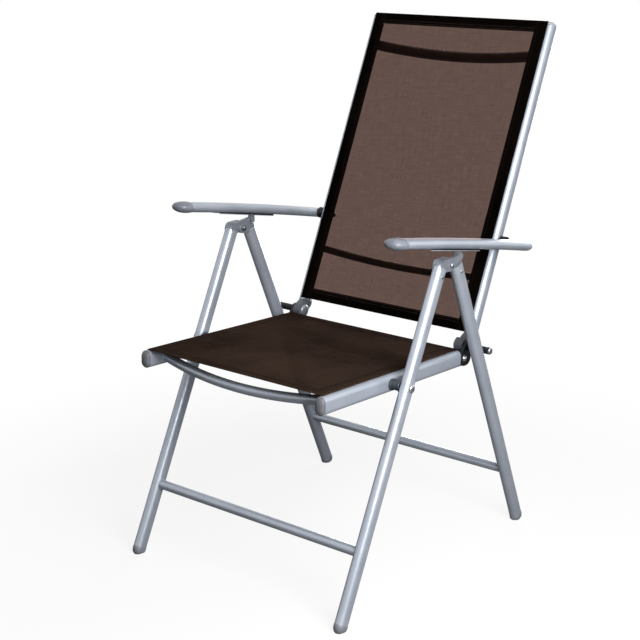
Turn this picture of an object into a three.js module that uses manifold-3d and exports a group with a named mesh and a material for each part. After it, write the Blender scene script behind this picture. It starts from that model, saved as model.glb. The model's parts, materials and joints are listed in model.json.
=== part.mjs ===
// Folding recliner chair: a silver tube frame with two stretched mesh slings.
// Millimetres, +Z up, the front is -Y and +X is the sitter's left. The legs stand on Z = 0.
// Side-plane points are Vector2(y, z). Left-hand pieces are built and the right-hand ones mirrored.
import * as THREE from 'three';
import { mergeVertices, toCreasedNormals } from 'three/addons/utils/BufferGeometryUtils.js';
import Module from 'manifold-3d';

const wasm = await Module();
wasm.setup();

// Clearances
const FIT = 0.3; // gap between pieces that touch or plug together
const PIN_PLAY = 0.5; // latch pin below the rack's tooth tips, and stop pin off the rear leg

// Leg frames
const LEG_X = 268.8; // leg axis from the middle plane
const LEG_WIDTH = 22;
const LEG_DEPTH = 30;
const TUBE_WALL = 1.2;
const FRONT_FOOT_Y = -397.4; // where the front leg's axis meets the floor
const FRONT_LEAN = 25.92; // degrees, top towards the rear
const FRONT_TUBE_TOP = 717; // along the leg from the floor
const REAR_FOOT_Y = 254;
const REAR_LEAN = -23.84; // degrees, top towards the front
const REAR_TUBE_TOP = 700;
const CROSSBAR_HEIGHT = 137;
const CROSSBAR_DIAMETER = 20;
const FOOT_SOLE = 14; // tube end above the floor, along the leg
const FOOT_RIM = 6; // straight part of the foot below the tube
const FOOT_DOME = 14; // rounded part, ground flat where it meets the floor
const FOOT_TENON = 28;

// Hinge heads between the leg frames
const HINGE_Y = -58.6;
const HINGE_Z = 646;
const EAR_RADIUS = 12;
const EAR_SPLIT = 0.3; // half of the gap between the two ears
const HEAD_TENON = 38;
const HEAD_COLLAR = 2.4;
const NECK_WIDTH = 8.4;
const NECK_THICKNESS = 10;
const NECK_RISE = 10; // neck root above the hinge
const RIVET_BELOW_FRONT = 18;
const RIVET_BELOW_REAR = 14;
const RIVET_RADIUS = 2;
const RIVET_HEAD_RADIUS = 4;
const RIVET_LENGTH = 11;

// Fasteners
const BOLT_RADIUS = 4;
const BOLT_HEAD_RADIUS = 8;
const BOLT_HEAD_HEIGHT = 4.4;
const NUT_RADIUS = 7;
const NUT_HEIGHT = 5;

// Seat
const RAIL_X = 223; // axis of seat rails and back tubes
const RAIL_WIDTH = 22;
const RAIL_DEPTH = 36;
const SEAT_PIVOT_Z = 429;
const SEAT_SLOPE = 3.12; // degrees, down to the rear
const RAIL_FRONT = 206; // rail end in front of the seat pivot
const RAIL_REAR = 246; // rail end behind the seat pivot
const PLUG_TENON = 25;
const PLUG_FLANGE = 3;
const PLUG_DOME = 6;
const SPACER_RADIUS = 12;
const BOW_DIAMETER = 20;
const LOWER_BOW_DIAMETER = 16; // the bow behind the sitter's hips
const SEAT_BOW_FRONT = 180; // bow in front of the seat pivot
const SEAT_BOW_REAR = 205; // bow behind the seat pivot
const SEAT_BOW_SAG = 18;
const SLING_THICKNESS = 2;
const SLING_HALF_WIDTH = 222;
const SEAT_SLING_FRONT = 196;
const SEAT_SLING_REAR = 248;

// Back hinge
const BACK_PIVOT_Z = 437;
const STOP_PIN_RADIUS = 7.5;
const STOP_PIN_REACH = 9; // stop pin beyond the leg's outer face
const KNUCKLE_RADIUS = 16;
const KNUCKLE_INNER_X = 206;
const KNUCKLE_OUTER_X = 226;
const KNUCKLE_COLLAR = 7; // knuckle's rim below the back tube
const KNUCKLE_ROOT = 5; // middle of the knuckle's web below the back tube
const KNUCKLE_ROOT_RADIUS = 14;
const HINGE_EYE_RADIUS = 13;
const RAIL_END_RADIUS = 16.5;
const RAIL_END_REACH = 14; // end block's centre beyond the rail
const RAIL_BOLT_RADIUS = 3;
const RAIL_BOLT_HEAD_RADIUS = 6.5;

// Back
const BACK_LEAN = 24.33;
const RECLINE_BACK = 27; // how much further the back leans in the last notch
const BACK_TUBE_START = 24.5; // along the back from the pivot
const BACK_TUBE_TOP = 700;
const BACK_DEPTH = 29;
const ARM_PIVOT_BEHIND = 18.5;
const BACK_AXIS_BEHIND = 15; // tube axis behind the pivot
const BACK_BOW_LOW = 150;
const BACK_BOW_HIGH = 632;
const BACK_BOW_BEHIND = 14; // bow ends behind the pivot line
const BACK_BOW_SAG = 18;
const BACK_SLING_LOW = 28;
const BACK_SLING_HIGH = 703;

// Armrests
const ARM_X = 268.8;
const ARM_WIDTH = 40;
const ARM_HEIGHT = 21;
const ARM_SLOPE = 10.82; // degrees, front end up
const ARM_PIVOT_UP = 230.3; // arm pivot along the back from the back pivot
const ARM_REAR = 34; // tube end behind the pivot
const ARM_FRONT = 432; // tube end in front of the pivot
const ARM_ARCH = 3; // drop of the tube's ends below its crown
const BUSH_RADIUS = 7;
const BUSH_FLANGE_RADIUS = 12.5;
const BUSH_DEPTH = 13; // bush inside the armrest
const ARM_CAP_SLEEVE = 8;
const ARM_CAP_NOSE = 26;
const ARM_CAP_SWELL = 1.13;
const ARM_END_DOME = 9;

// Latch rack inside each armrest
const LATCH_REACH = 219.4; // latch pin from the arm pivot, along the arm
const LATCH_DROP = 8; // latch pin below the arm's axis
const LATCH_PIN_RADIUS = 4;
const LATCH_PIN_LENGTH = 15;
const NOTCH_COUNT = 7;
const NOTCH_PITCH = 24;
const NOTCHES_BEHIND_PIN = 2; // notches between the pin and the rear end of the rack
const NOTCH_RADIUS = 7;
const RACK_MARGIN = 13; // rack beyond its end notches
const RACK_WIDTH = 17;
const RACK_BOW = 5.3; // the tooth tips follow the pin's arc: middle lower than ends
const SLOT_WIDTH = 19;
const SLOT_MARGIN = 4; // slot beyond the rack

// Facets
const OVAL_STEPS = 16;
const EDGE_STEPS = 6; // round edge of a flat-sided tube
const ROUND_STEPS = 12;
const BOW_STEPS = 6;
const BOW_SIDES = 10;
const ARM_STEPS = 6;
const WELD = 1e-4;
const MERGE = 0.02; // flat facets closer than this become one
const CREASE = THREE.MathUtils.degToRad(35);

const FRAME = { color: 0x9aa2ae, metalness: 0.55, roughness: 0.4 };
const CASTING = { color: 0x7f858f, metalness: 0.3, roughness: 0.5 };
const LIGHT_PLASTIC = { color: 0xb4b8be, metalness: 0.0, roughness: 0.5 };
const GREY_PLASTIC = { color: 0x63676e, metalness: 0.0, roughness: 0.55 };
const DARK_PLASTIC = { color: 0x26272a, metalness: 0.0, roughness: 0.5 };
const RUBBER = { color: 0x54575c, metalness: 0.0, roughness: 0.7 };
const STEEL = { color: 0xc4c7cb, metalness: 0.9, roughness: 0.3 };
const FABRIC = { color: 0x3a2c26, metalness: 0.0, roughness: 0.9 };

// Side-plane helpers
const side = (y, z) => new THREE.Vector2(y, z);
const radians = THREE.MathUtils.degToRad;

function leaning(degrees) {
  return side(Math.sin(radians(degrees)), Math.cos(radians(degrees)));
}

function from(point, direction, distance) {
  return point.clone().addScaledVector(direction, distance);
}

// The side-plane normal that points to the rear of a direction going up.
function rearOf(direction) {
  return side(direction.y, -direction.x);
}

// Local x goes along the chair's X and local z along a side-plane direction.
function tubeFrame(x, origin, direction) {
  const lateral = new THREE.Vector3(1, 0, 0);
  const axis = new THREE.Vector3(0, direction.x, direction.y);
  const depth = new THREE.Vector3().crossVectors(axis, lateral);
  return new THREE.Matrix4().makeBasis(lateral, depth, axis).setPosition(x, origin.x, origin.y);
}

// Solids
function toSolid(geometry) {
  const bare = new THREE.BufferGeometry();
  bare.setAttribute('position', geometry.getAttribute('position'));
  bare.setIndex(geometry.getIndex());
  const welded = mergeVertices(bare, WELD);
  const corners = welded.getIndex().array;
  const kept = [];
  for (let i = 0; i < corners.length; i += 3) {
    const [a, b, c] = [corners[i], corners[i + 1], corners[i + 2]];
    if (a !== b && b !== c && c !== a) {
      kept.push(a, b, c);
    }
  }
  return new wasm.Manifold(new wasm.Mesh({
    numProp: 3,
    vertProperties: new Float32Array(welded.getAttribute('position').array),
    triVerts: new Uint32Array(kept),
  }));
}

function toGeometry(solid) {
  const mesh = solid.simplify(MERGE).getMesh();
  const geometry = new THREE.BufferGeometry();
  geometry.setAttribute('position', new THREE.BufferAttribute(mesh.vertProperties, 3));
  geometry.setIndex(new THREE.BufferAttribute(mesh.triVerts, 1));
  return toCreasedNormals(geometry, CREASE);
}

const join = (...solids) => solids.reduce((whole, piece) => whole.add(piece));
const cut = (solid, ...tools) => tools.reduce((rest, tool) => rest.subtract(tool), solid);

// Tube sections as outlines: a smooth oval, and one with flat sides and round edges
function oval(width, depth) {
  return new THREE.EllipseCurve(0, 0, width / 2, depth / 2).getPoints(OVAL_STEPS).slice(0, -1);
}

function flatOval(width, depth) {
  const radius = width / 2;
  const reach = depth / 2 - radius;
  const upper = new THREE.EllipseCurve(0, reach, radius, radius, 0, Math.PI);
  const lower = new THREE.EllipseCurve(0, -reach, radius, radius, Math.PI, Math.PI * 2);
  return [...upper.getPoints(EDGE_STEPS), ...lower.getPoints(EDGE_STEPS)];
}

function round(diameter) {
  return new THREE.EllipseCurve(0, 0, diameter / 2, diameter / 2).getPoints(BOW_SIDES).slice(0, -1);
}

function hollow(outer, bore) {
  const shape = new THREE.Shape(outer);
  shape.holes.push(new THREE.Path(bore));
  return shape;
}

function flatTube(width, depth) {
  return hollow(flatOval(width, depth), flatOval(width - 2 * TUBE_WALL, depth - 2 * TUBE_WALL));
}

// The section that fills a flat-sided tube, and the one that just clears its outside
function tenonOf(width, depth) {
  const play = 2 * (TUBE_WALL + FIT);
  return new THREE.Shape(flatOval(width - play, depth - play));
}

function clearOf(width, depth) {
  return new THREE.Shape(flatOval(width + 2 * FIT, depth + 2 * FIT));
}

// A shape swept straight along a side-plane direction, from one distance to another.
function sweep(shape, x, origin, direction, start, end) {
  const geometry = new THREE.ExtrudeGeometry(shape, { depth: end - start, bevelEnabled: false });
  geometry.applyMatrix4(tubeFrame(x, from(origin, direction, start), direction));
  return toSolid(geometry);
}

// A closed body that keeps one outline, scaled along its length: the profile is a list of [scale, distance].
function loft(outline, profile, x, origin, direction) {
  const positions = [];
  const corners = [];
  const count = outline.length;
  for (const [scale, distance] of profile) {
    outline.forEach((point) => positions.push(point.x * scale, point.y * scale, distance));
  }
  for (let start = 0; start < positions.length / 3 - count; start += count) {
    for (let i = 0; i < count; i += 1) {
      const a = start + i;
      const b = start + (i + 1) % count;
      corners.push(a, b, b + count, a, b + count, a + count);
    }
  }
  const geometry = new THREE.BufferGeometry();
  geometry.setAttribute('position', new THREE.Float32BufferAttribute(positions, 3));
  geometry.setIndex(corners);
  geometry.applyMatrix4(tubeFrame(x, origin, direction));
  return toSolid(geometry);
}

// A side-plane outline given thickness across the chair.
function plate(shape, innerX, outerX) {
  const settings = { depth: outerX - innerX, bevelEnabled: false, curveSegments: ROUND_STEPS / 3 };
  const geometry = new THREE.ExtrudeGeometry(shape, settings);
  const basis = new THREE.Matrix4().makeBasis(
    new THREE.Vector3(0, 1, 0), new THREE.Vector3(0, 0, 1), new THREE.Vector3(1, 0, 0));
  geometry.applyMatrix4(basis.setPosition(innerX, 0, 0));
  return toSolid(geometry);
}

// The outline round two circles, as a link in a chain.
function link(a, radiusA, b, radiusB) {
  const heading = Math.atan2(b.y - a.y, b.x - a.x);
  const tangent = Math.acos((radiusA - radiusB) / a.distanceTo(b));
  const shape = new THREE.Shape();
  shape.absarc(a.x, a.y, radiusA, heading + tangent, heading - tangent + Math.PI * 2, false);
  shape.absarc(b.x, b.y, radiusB, heading - tangent, heading + tangent, false);
  return shape;
}

function rod(centre, radius, innerX, outerX) {
  const geometry = new THREE.CylinderGeometry(radius, radius, outerX - innerX, ROUND_STEPS);
  geometry.rotateZ(-Math.PI / 2);
  geometry.translate((innerX + outerX) / 2, centre.x, centre.y);
  return toSolid(geometry);
}

// A piece turned about an axis across the chair: the profile is a list of [radius, x].
function turned(centre, profile) {
  const points = profile.map(([radius, x]) => new THREE.Vector2(radius, x));
  const geometry = new THREE.LatheGeometry(points, ROUND_STEPS);
  geometry.rotateZ(-Math.PI / 2);
  geometry.translate(0, centre.x, centre.y);
  return toSolid(geometry);
}

function box(x0, x1, y0, y1, z0, z1) {
  const geometry = new THREE.BoxGeometry(x1 - x0, y1 - y0, z1 - z0);
  geometry.translate((x0 + x1) / 2, (y0 + y1) / 2, (z0 + z1) / 2);
  return toSolid(geometry);
}

// A bolt across the chair with a nut at its inner end and a domed head outside.
function bolt(centre, innerX, outerX) {
  const nutX = innerX - FIT;
  const headX = outerX + FIT;
  return turned(centre, [
    [0, nutX - NUT_HEIGHT],
    [NUT_RADIUS, nutX - NUT_HEIGHT],
    [NUT_RADIUS, nutX],
    [BOLT_RADIUS, nutX],
    [BOLT_RADIUS, headX],
    [BOLT_HEAD_RADIUS, headX],
    [BOLT_HEAD_RADIUS, headX + BOLT_HEAD_HEIGHT * 0.35],
    [BOLT_HEAD_RADIUS * 0.65, headX + BOLT_HEAD_HEIGHT * 0.85],
    [0, headX + BOLT_HEAD_HEIGHT],
  ]);
}

// A domed cap with a tenon that plugs into a tube's end
function tubePlug(x, origin, direction, rim, tenon, flange, dome, length) {
  const profile = [[0, 0], [1, 0], [1, flange], [0.86, flange + dome * 0.55], [0.55, flange + dome * 0.9],
    [0, flange + dome]];
  const cap = loft(rim, profile, x, from(origin, direction, FIT), direction);
  return join(cap, sweep(tenon, x, origin, direction, -length, FIT + flange / 2));
}

function railPlug(depth, origin, direction) {
  return tubePlug(RAIL_X, origin, direction, flatOval(RAIL_WIDTH, depth), tenonOf(RAIL_WIDTH, depth),
    PLUG_FLANGE, PLUG_DOME, PLUG_TENON);
}

// A bowed tube across the chair whose middle is offset from its ends by a side-plane vector.
function bowTube(end, offset, halfSpan, diameter) {
  const path = new THREE.QuadraticBezierCurve3(
    new THREE.Vector3(-halfSpan, end.x, end.y),
    new THREE.Vector3(0, end.x + 2 * offset.x, end.y + 2 * offset.y),
    new THREE.Vector3(halfSpan, end.x, end.y));
  const shape = hollow(round(diameter), round(diameter - 2 * TUBE_WALL));
  return toSolid(new THREE.ExtrudeGeometry(shape, { steps: BOW_STEPS, extrudePath: path }));
}

// The chair's own assembly
const chair = new THREE.Group();

function addPart(name, solid, finish) {
  const mesh = new THREE.Mesh(toGeometry(solid), new THREE.MeshStandardMaterial(finish));
  mesh.name = name;
  chair.add(mesh);
}

function addPair(name, solid, finish) {
  addPart(`left_${name}`, solid, finish);
  addPart(`right_${name}`, solid.mirror([1, 0, 0]), finish);
}

// Pivots and directions that the pieces share
const hinge = side(HINGE_Y, HINGE_Z);
const frontFoot = side(FRONT_FOOT_Y, 0);
const frontUp = leaning(FRONT_LEAN);
const frontTop = from(frontFoot, frontUp, FRONT_TUBE_TOP);
const rearFoot = side(REAR_FOOT_Y, 0);
const rearUp = leaning(REAR_LEAN);
const rearTop = from(rearFoot, rearUp, REAR_TUBE_TOP);
const legInnerX = LEG_X - LEG_WIDTH / 2;
const legOuterX = LEG_X + LEG_WIDTH / 2;
const railInnerX = RAIL_X - RAIL_WIDTH / 2;
const railOuterX = RAIL_X + RAIL_WIDTH / 2;

const seatPivot = from(frontFoot, frontUp, SEAT_PIVOT_Z / frontUp.y);
const seatBack = leaning(90 + SEAT_SLOPE);
const seatUp = side(-seatBack.y, seatBack.x);

const rearLegAtPivot = from(rearFoot, rearUp, BACK_PIVOT_Z / rearUp.y);
const stopOffset = LEG_DEPTH / 2 + STOP_PIN_RADIUS + PIN_PLAY;
const backPivot = side(rearLegAtPivot.x + stopOffset / rearUp.y, BACK_PIVOT_Z);
const backUp = leaning(BACK_LEAN);
const backRear = rearOf(backUp);
const backLine = from(backPivot, backRear, BACK_AXIS_BEHIND);

const armPivot = from(from(backPivot, backRear, ARM_PIVOT_BEHIND), backUp, ARM_PIVOT_UP);
const armFront = leaning(ARM_SLOPE - 90);
const armUp = rearOf(armFront);
const latch = from(from(armPivot, armFront, LATCH_REACH), armUp, -LATCH_DROP);

// Envelopes that the crossing tubes are coped against
const frontLegEnvelope = sweep(clearOf(LEG_WIDTH, LEG_DEPTH), LEG_X, frontFoot, frontUp,
  0, FRONT_TUBE_TOP + FIT);
const rearLegEnvelope = sweep(clearOf(LEG_WIDTH, LEG_DEPTH), LEG_X, rearFoot, rearUp,
  0, REAR_TUBE_TOP + FIT);
const railEnvelope = sweep(clearOf(RAIL_WIDTH, RAIL_DEPTH), RAIL_X, seatPivot, seatBack,
  -RAIL_FRONT, RAIL_REAR + FIT);
const backEnvelope = sweep(clearOf(RAIL_WIDTH, BACK_DEPTH), RAIL_X, backLine, backUp,
  BACK_TUBE_START - FIT, BACK_TUBE_TOP);

const boltHole = (centre, innerX, outerX) => rod(centre, BOLT_RADIUS + FIT, innerX, outerX);

// Legs, their feet and the crossbars between them
const frontRivetAt = from(frontTop, frontUp, -RIVET_BELOW_FRONT);
const rearRivetAt = from(rearTop, rearUp, -RIVET_BELOW_REAR);
const rivetTipX = legOuterX - RIVET_LENGTH;
const rivetHole = (centre) => rod(centre, RIVET_RADIUS + FIT, rivetTipX - FIT, legOuterX + FIT);

function legTube(foot, up, top, rivetAt) {
  const tube = sweep(flatTube(LEG_WIDTH, LEG_DEPTH), LEG_X, foot, up, FOOT_SOLE, top);
  return cut(tube, rivetHole(rivetAt));
}

// A rounded plug in the tube's end, ground flat at the floor
function footPlug(foot, up) {
  const tubeEnd = from(foot, up, FOOT_SOLE);
  const plug = tubePlug(LEG_X, tubeEnd, up.clone().negate(), flatOval(LEG_WIDTH, LEG_DEPTH),
    tenonOf(LEG_WIDTH, LEG_DEPTH), FOOT_RIM, FOOT_DOME, FOOT_TENON);
  const floor = box(LEG_X - LEG_WIDTH, LEG_X + LEG_WIDTH, foot.x - 2 * LEG_DEPTH, foot.x + 2 * LEG_DEPTH,
    -LEG_DEPTH, 0);
  return cut(plug, floor);
}

function rivet(centre) {
  const headX = legOuterX + FIT;
  return turned(centre, [
    [0, rivetTipX],
    [RIVET_RADIUS, rivetTipX],
    [RIVET_RADIUS, headX],
    [RIVET_HEAD_RADIUS, headX],
    [RIVET_HEAD_RADIUS * 0.7, headX + 1.4],
    [0, headX + 2],
  ]);
}

function crossbar(foot, up, envelope) {
  const middle = from(foot, up, CROSSBAR_HEIGHT / up.y);
  const outer = rod(middle, CROSSBAR_DIAMETER / 2, -LEG_X, LEG_X);
  const inner = rod(middle, CROSSBAR_DIAMETER / 2 - TUBE_WALL, -LEG_X - 1, LEG_X + 1);
  return cut(outer, inner, envelope, envelope.mirror([1, 0, 0]));
}

addPair('front_leg', cut(legTube(frontFoot, frontUp, FRONT_TUBE_TOP, frontRivetAt),
  boltHole(seatPivot, legInnerX - 1, legOuterX + 1)), FRAME);
addPair('front_foot', footPlug(frontFoot, frontUp), RUBBER);
addPart('front_crossbar', crossbar(frontFoot, frontUp, frontLegEnvelope), FRAME);
addPair('front_rivet', rivet(frontRivetAt), STEEL);
addPair('rear_leg', legTube(rearFoot, rearUp, REAR_TUBE_TOP, rearRivetAt), FRAME);
addPair('rear_foot', footPlug(rearFoot, rearUp), RUBBER);
addPart('rear_crossbar', crossbar(rearFoot, rearUp, rearLegEnvelope), FRAME);
addPair('rear_rivet', rivet(rearRivetAt), STEEL);

// Hinge heads: the front one lies outside, reaches back over the pivot and carries the latch neck
const headInnerX = legInnerX + 0.5;
const headOuterX = legOuterX - 0.5;
const neckRoot = side(latch.x, hinge.y + NECK_RISE);
const neckTop = side(latch.x, latch.y - LATCH_PIN_RADIUS * 0.75);

function headStem(origin, up) {
  const tenon = sweep(tenonOf(LEG_WIDTH, LEG_DEPTH), LEG_X, origin, up, -HEAD_TENON, FIT + 1);
  const tubeOutline = new THREE.Shape(flatOval(LEG_WIDTH, LEG_DEPTH));
  const collar = sweep(tubeOutline, LEG_X, origin, up, FIT, FIT + HEAD_COLLAR);
  return join(tenon, collar);
}

function frontHead() {
  const shoulder = from(frontTop, frontUp, 4);
  const earInnerX = LEG_X + EAR_SPLIT;
  const bridge = plate(link(shoulder, EAR_RADIUS, hinge, EAR_RADIUS), earInnerX, headOuterX);
  const crownOutline = link(from(frontTop, frontUp, 1), EAR_RADIUS - 1, shoulder, EAR_RADIUS);
  const crown = plate(crownOutline, headInnerX, headOuterX);
  const sweepBack = plate(link(hinge, EAR_RADIUS, neckRoot, NECK_WIDTH * 0.7), earInnerX, headOuterX);
  const neck = plate(link(neckRoot, NECK_WIDTH * 0.7, neckTop, NECK_WIDTH / 2),
    LEG_X - NECK_THICKNESS / 2, LEG_X + NECK_THICKNESS / 2);
  const rearEar = rod(hinge, EAR_RADIUS + 2 * FIT, headInnerX - 1, LEG_X + EAR_SPLIT);
  const saddle = rod(latch, LATCH_PIN_RADIUS + FIT, LEG_X - NECK_THICKNESS, LEG_X + NECK_THICKNESS);
  const above = cut(join(cut(crown, rearEar), bridge, sweepBack, neck), frontLegEnvelope);
  const whole = join(above, headStem(frontTop, frontUp));
  return cut(whole, saddle, boltHole(hinge, legInnerX, legOuterX), rivetHole(frontRivetAt));
}

function rearHead() {
  const ear = plate(link(hinge, EAR_RADIUS, rearTop, EAR_RADIUS * 0.75), headInnerX, LEG_X - EAR_SPLIT);
  const whole = join(cut(ear, rearLegEnvelope), headStem(rearTop, rearUp));
  return cut(whole, boltHole(hinge, legInnerX, legOuterX), rivetHole(rearRivetAt));
}

addPair('front_head', frontHead(), CASTING);
addPair('rear_head', rearHead(), CASTING);
addPair('hinge_bolt', bolt(hinge, headInnerX, headOuterX), STEEL);
const latchHalf = LATCH_PIN_LENGTH / 2;
addPair('latch_pin', rod(latch, LATCH_PIN_RADIUS, LEG_X - latchHalf, LEG_X + latchHalf), STEEL);

// Seat frame
const railEnd = from(seatPivot, seatBack, RAIL_REAR);
const railFront = from(seatPivot, seatBack, -RAIL_FRONT);
const endCentre = from(railEnd, seatBack, RAIL_END_REACH);
const rail = sweep(flatTube(RAIL_WIDTH, RAIL_DEPTH), RAIL_X, seatPivot, seatBack, -RAIL_FRONT, RAIL_REAR);

function spacer() {
  const ring = rod(seatPivot, SPACER_RADIUS, railOuterX + FIT, legInnerX - FIT);
  return cut(ring, boltHole(seatPivot, railOuterX, legInnerX));
}

// The knuckle's web with the back leaning further back, and a clearance round it
function webClearance(extraLean) {
  const up = leaning(BACK_LEAN + extraLean);
  const root = from(from(backPivot, up, BACK_TUBE_START - KNUCKLE_ROOT), rearOf(up), BACK_AXIS_BEHIND);
  const outline = link(backPivot, KNUCKLE_RADIUS + 2 * FIT, root, KNUCKLE_ROOT_RADIUS + 2 * FIT);
  return plate(outline, KNUCKLE_INNER_X - 1, KNUCKLE_OUTER_X + 2 * FIT);
}

// The black end block plugs into the rail and its outer eye carries the back's hinge pin.
function railEndBlock() {
  const tenon = sweep(tenonOf(RAIL_WIDTH, RAIL_DEPTH), RAIL_X, railEnd, seatBack, -PLUG_TENON, 4);
  const blockStart = from(railEnd, seatBack, RAIL_END_RADIUS - 2);
  const blockEnd = from(endCentre, seatBack, 8);
  const blockOutline = link(blockStart, RAIL_END_RADIUS, blockEnd, RAIL_END_RADIUS);
  const block = plate(blockOutline, railInnerX + FIT, railOuterX - FIT);
  const rim = new THREE.Shape(flatOval(RAIL_WIDTH, RAIL_DEPTH));
  const collar = sweep(rim, RAIL_X, railEnd, seatBack, -2, RAIL_END_REACH);
  const eye = plate(link(endCentre, RAIL_END_RADIUS - 2, backPivot, HINGE_EYE_RADIUS), KNUCKLE_OUTER_X + FIT,
    railOuterX - 2 * FIT);
  const saddle = join(webClearance(0), webClearance(RECLINE_BACK / 2), webClearance(RECLINE_BACK));
  const body = cut(join(block, collar), saddle);
  const pinHole = boltHole(backPivot, railInnerX, railOuterX + 1);
  const boltWay = rod(endCentre, RAIL_BOLT_RADIUS + FIT, railInnerX - 1, railOuterX + 1);
  return cut(join(cut(tenon, saddle), cut(join(body, eye), railEnvelope)), pinHole, boltWay);
}

function railBolt() {
  const innerX = railInnerX;
  const headX = railOuterX + FIT;
  return turned(endCentre, [
    [0, innerX],
    [RAIL_BOLT_RADIUS, innerX],
    [RAIL_BOLT_RADIUS, headX],
    [RAIL_BOLT_HEAD_RADIUS, headX],
    [RAIL_BOLT_HEAD_RADIUS, headX + 1.5],
    [RAIL_BOLT_HEAD_RADIUS * 0.6, headX + 3.4],
    [0, headX + 4],
  ]);
}

function seatBow(distance) {
  const end = from(seatPivot, seatBack, distance);
  const sag = seatUp.clone().multiplyScalar(-SEAT_BOW_SAG);
  return cut(bowTube(end, sag, RAIL_X, BOW_DIAMETER), railEnvelope, railEnvelope.mirror([1, 0, 0]));
}

function slingOutline(origin, direction, up, start, end, level) {
  const top = level + SLING_THICKNESS;
  const corners = [[start, level], [end, level], [end, top], [start, top]];
  return new THREE.Shape(corners.map(([s, t]) => from(from(origin, direction, s), up, t)));
}

addPair('seat_rail', cut(rail, boltHole(seatPivot, railInnerX - 1, railOuterX + 1)), FRAME);
addPair('rail_plug', railPlug(RAIL_DEPTH, railFront, seatBack.clone().negate()), LIGHT_PLASTIC);
addPair('rail_end', railEndBlock(), DARK_PLASTIC);
addPair('rail_bolt', railBolt(), STEEL);
addPair('spacer', spacer(), DARK_PLASTIC);
addPair('seat_bolt', bolt(seatPivot, railInnerX, legOuterX), STEEL);
addPart('seat_front_bow', seatBow(-SEAT_BOW_FRONT), FRAME);
addPart('seat_rear_bow', seatBow(SEAT_BOW_REAR), FRAME);
addPart('seat_sling', plate(slingOutline(seatPivot, seatBack, seatUp, -SEAT_SLING_FRONT, SEAT_SLING_REAR,
  RAIL_DEPTH / 2 + FIT), -SLING_HALF_WIDTH, SLING_HALF_WIDTH), FABRIC);

// Back frame and its hinge
function backPin() {
  const headX = KNUCKLE_INNER_X - FIT;
  const stopX = railOuterX + FIT;
  const tipX = legOuterX + STOP_PIN_REACH;
  return turned(backPivot, [
    [0, headX - 5],
    [BOLT_HEAD_RADIUS * 0.7, headX - 4.2],
    [BOLT_HEAD_RADIUS, headX - 2],
    [BOLT_HEAD_RADIUS, headX],
    [BOLT_RADIUS, headX],
    [BOLT_RADIUS, stopX],
    [STOP_PIN_RADIUS, stopX],
    [STOP_PIN_RADIUS, tipX - 3],
    [STOP_PIN_RADIUS * 0.7, tipX - 0.8],
    [0, tipX],
  ]);
}

function knuckle() {
  const tubeStart = from(backLine, backUp, BACK_TUBE_START);
  const root = from(tubeStart, backUp, -KNUCKLE_ROOT);
  const drum = rod(backPivot, KNUCKLE_RADIUS, KNUCKLE_INNER_X, KNUCKLE_OUTER_X);
  const webOutline = link(backPivot, KNUCKLE_RADIUS, root, KNUCKLE_ROOT_RADIUS);
  const web = plate(webOutline, railInnerX + FIT, KNUCKLE_OUTER_X);
  const rim = new THREE.Shape(flatOval(RAIL_WIDTH, BACK_DEPTH));
  const collar = sweep(rim, RAIL_X, tubeStart, backUp, -KNUCKLE_COLLAR, -FIT);
  const tenon = sweep(tenonOf(RAIL_WIDTH, BACK_DEPTH), RAIL_X, tubeStart, backUp, -1, PLUG_TENON);
  const body = join(cut(join(drum, web), backEnvelope), collar, tenon);
  return cut(body, boltHole(backPivot, KNUCKLE_INNER_X - 1, KNUCKLE_OUTER_X + 1));
}

function backBow(distance, diameter) {
  const end = from(from(backPivot, backUp, distance), backRear, BACK_BOW_BEHIND);
  const sag = backRear.clone().multiplyScalar(BACK_BOW_SAG);
  return cut(bowTube(end, sag, RAIL_X, diameter), backEnvelope, backEnvelope.mirror([1, 0, 0]));
}

const backTube = sweep(flatTube(RAIL_WIDTH, BACK_DEPTH), RAIL_X, backLine, backUp,
  BACK_TUBE_START, BACK_TUBE_TOP);
const slingFace = from(backLine, backRear, -BACK_DEPTH / 2 - FIT);

addPair('back_pin', backPin(), STEEL);
addPair('knuckle', knuckle(), GREY_PLASTIC);
addPair('back_tube', cut(backTube, boltHole(armPivot, railInnerX - 1, railOuterX + 1)), FRAME);
addPair('back_cap', railPlug(BACK_DEPTH, from(backLine, backUp, BACK_TUBE_TOP), backUp), GREY_PLASTIC);
addPart('back_lower_bow', backBow(BACK_BOW_LOW, LOWER_BOW_DIAMETER), FRAME);
addPart('back_top_bow', backBow(BACK_BOW_HIGH, BOW_DIAMETER), FRAME);
addPart('back_sling', plate(slingOutline(slingFace, backUp, backRear.clone().negate(), BACK_SLING_LOW,
  BACK_SLING_HIGH, 0), -SLING_HALF_WIDTH, SLING_HALF_WIDTH), FABRIC);

// Armrests: places along (u) and above (v) the arm's axis are measured from the arm pivot
const armInnerX = ARM_X - ARM_WIDTH / 2;
const armCrown = (ARM_FRONT - ARM_REAR) / 2;
const armHalf = (ARM_FRONT + ARM_REAR) / 2;

const onArm = (u, v) => from(from(armPivot, armFront, u), armUp, v);
const armDrop = (u) => -ARM_ARCH * ((u - armCrown) / armHalf) ** 2;
// The tube's heading at a place along the arch
function armHeading(u) {
  const slope = -2 * ARM_ARCH * (u - armCrown) / armHalf ** 2;
  return armFront.clone().addScaledVector(armUp, slope).normalize();
}

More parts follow.
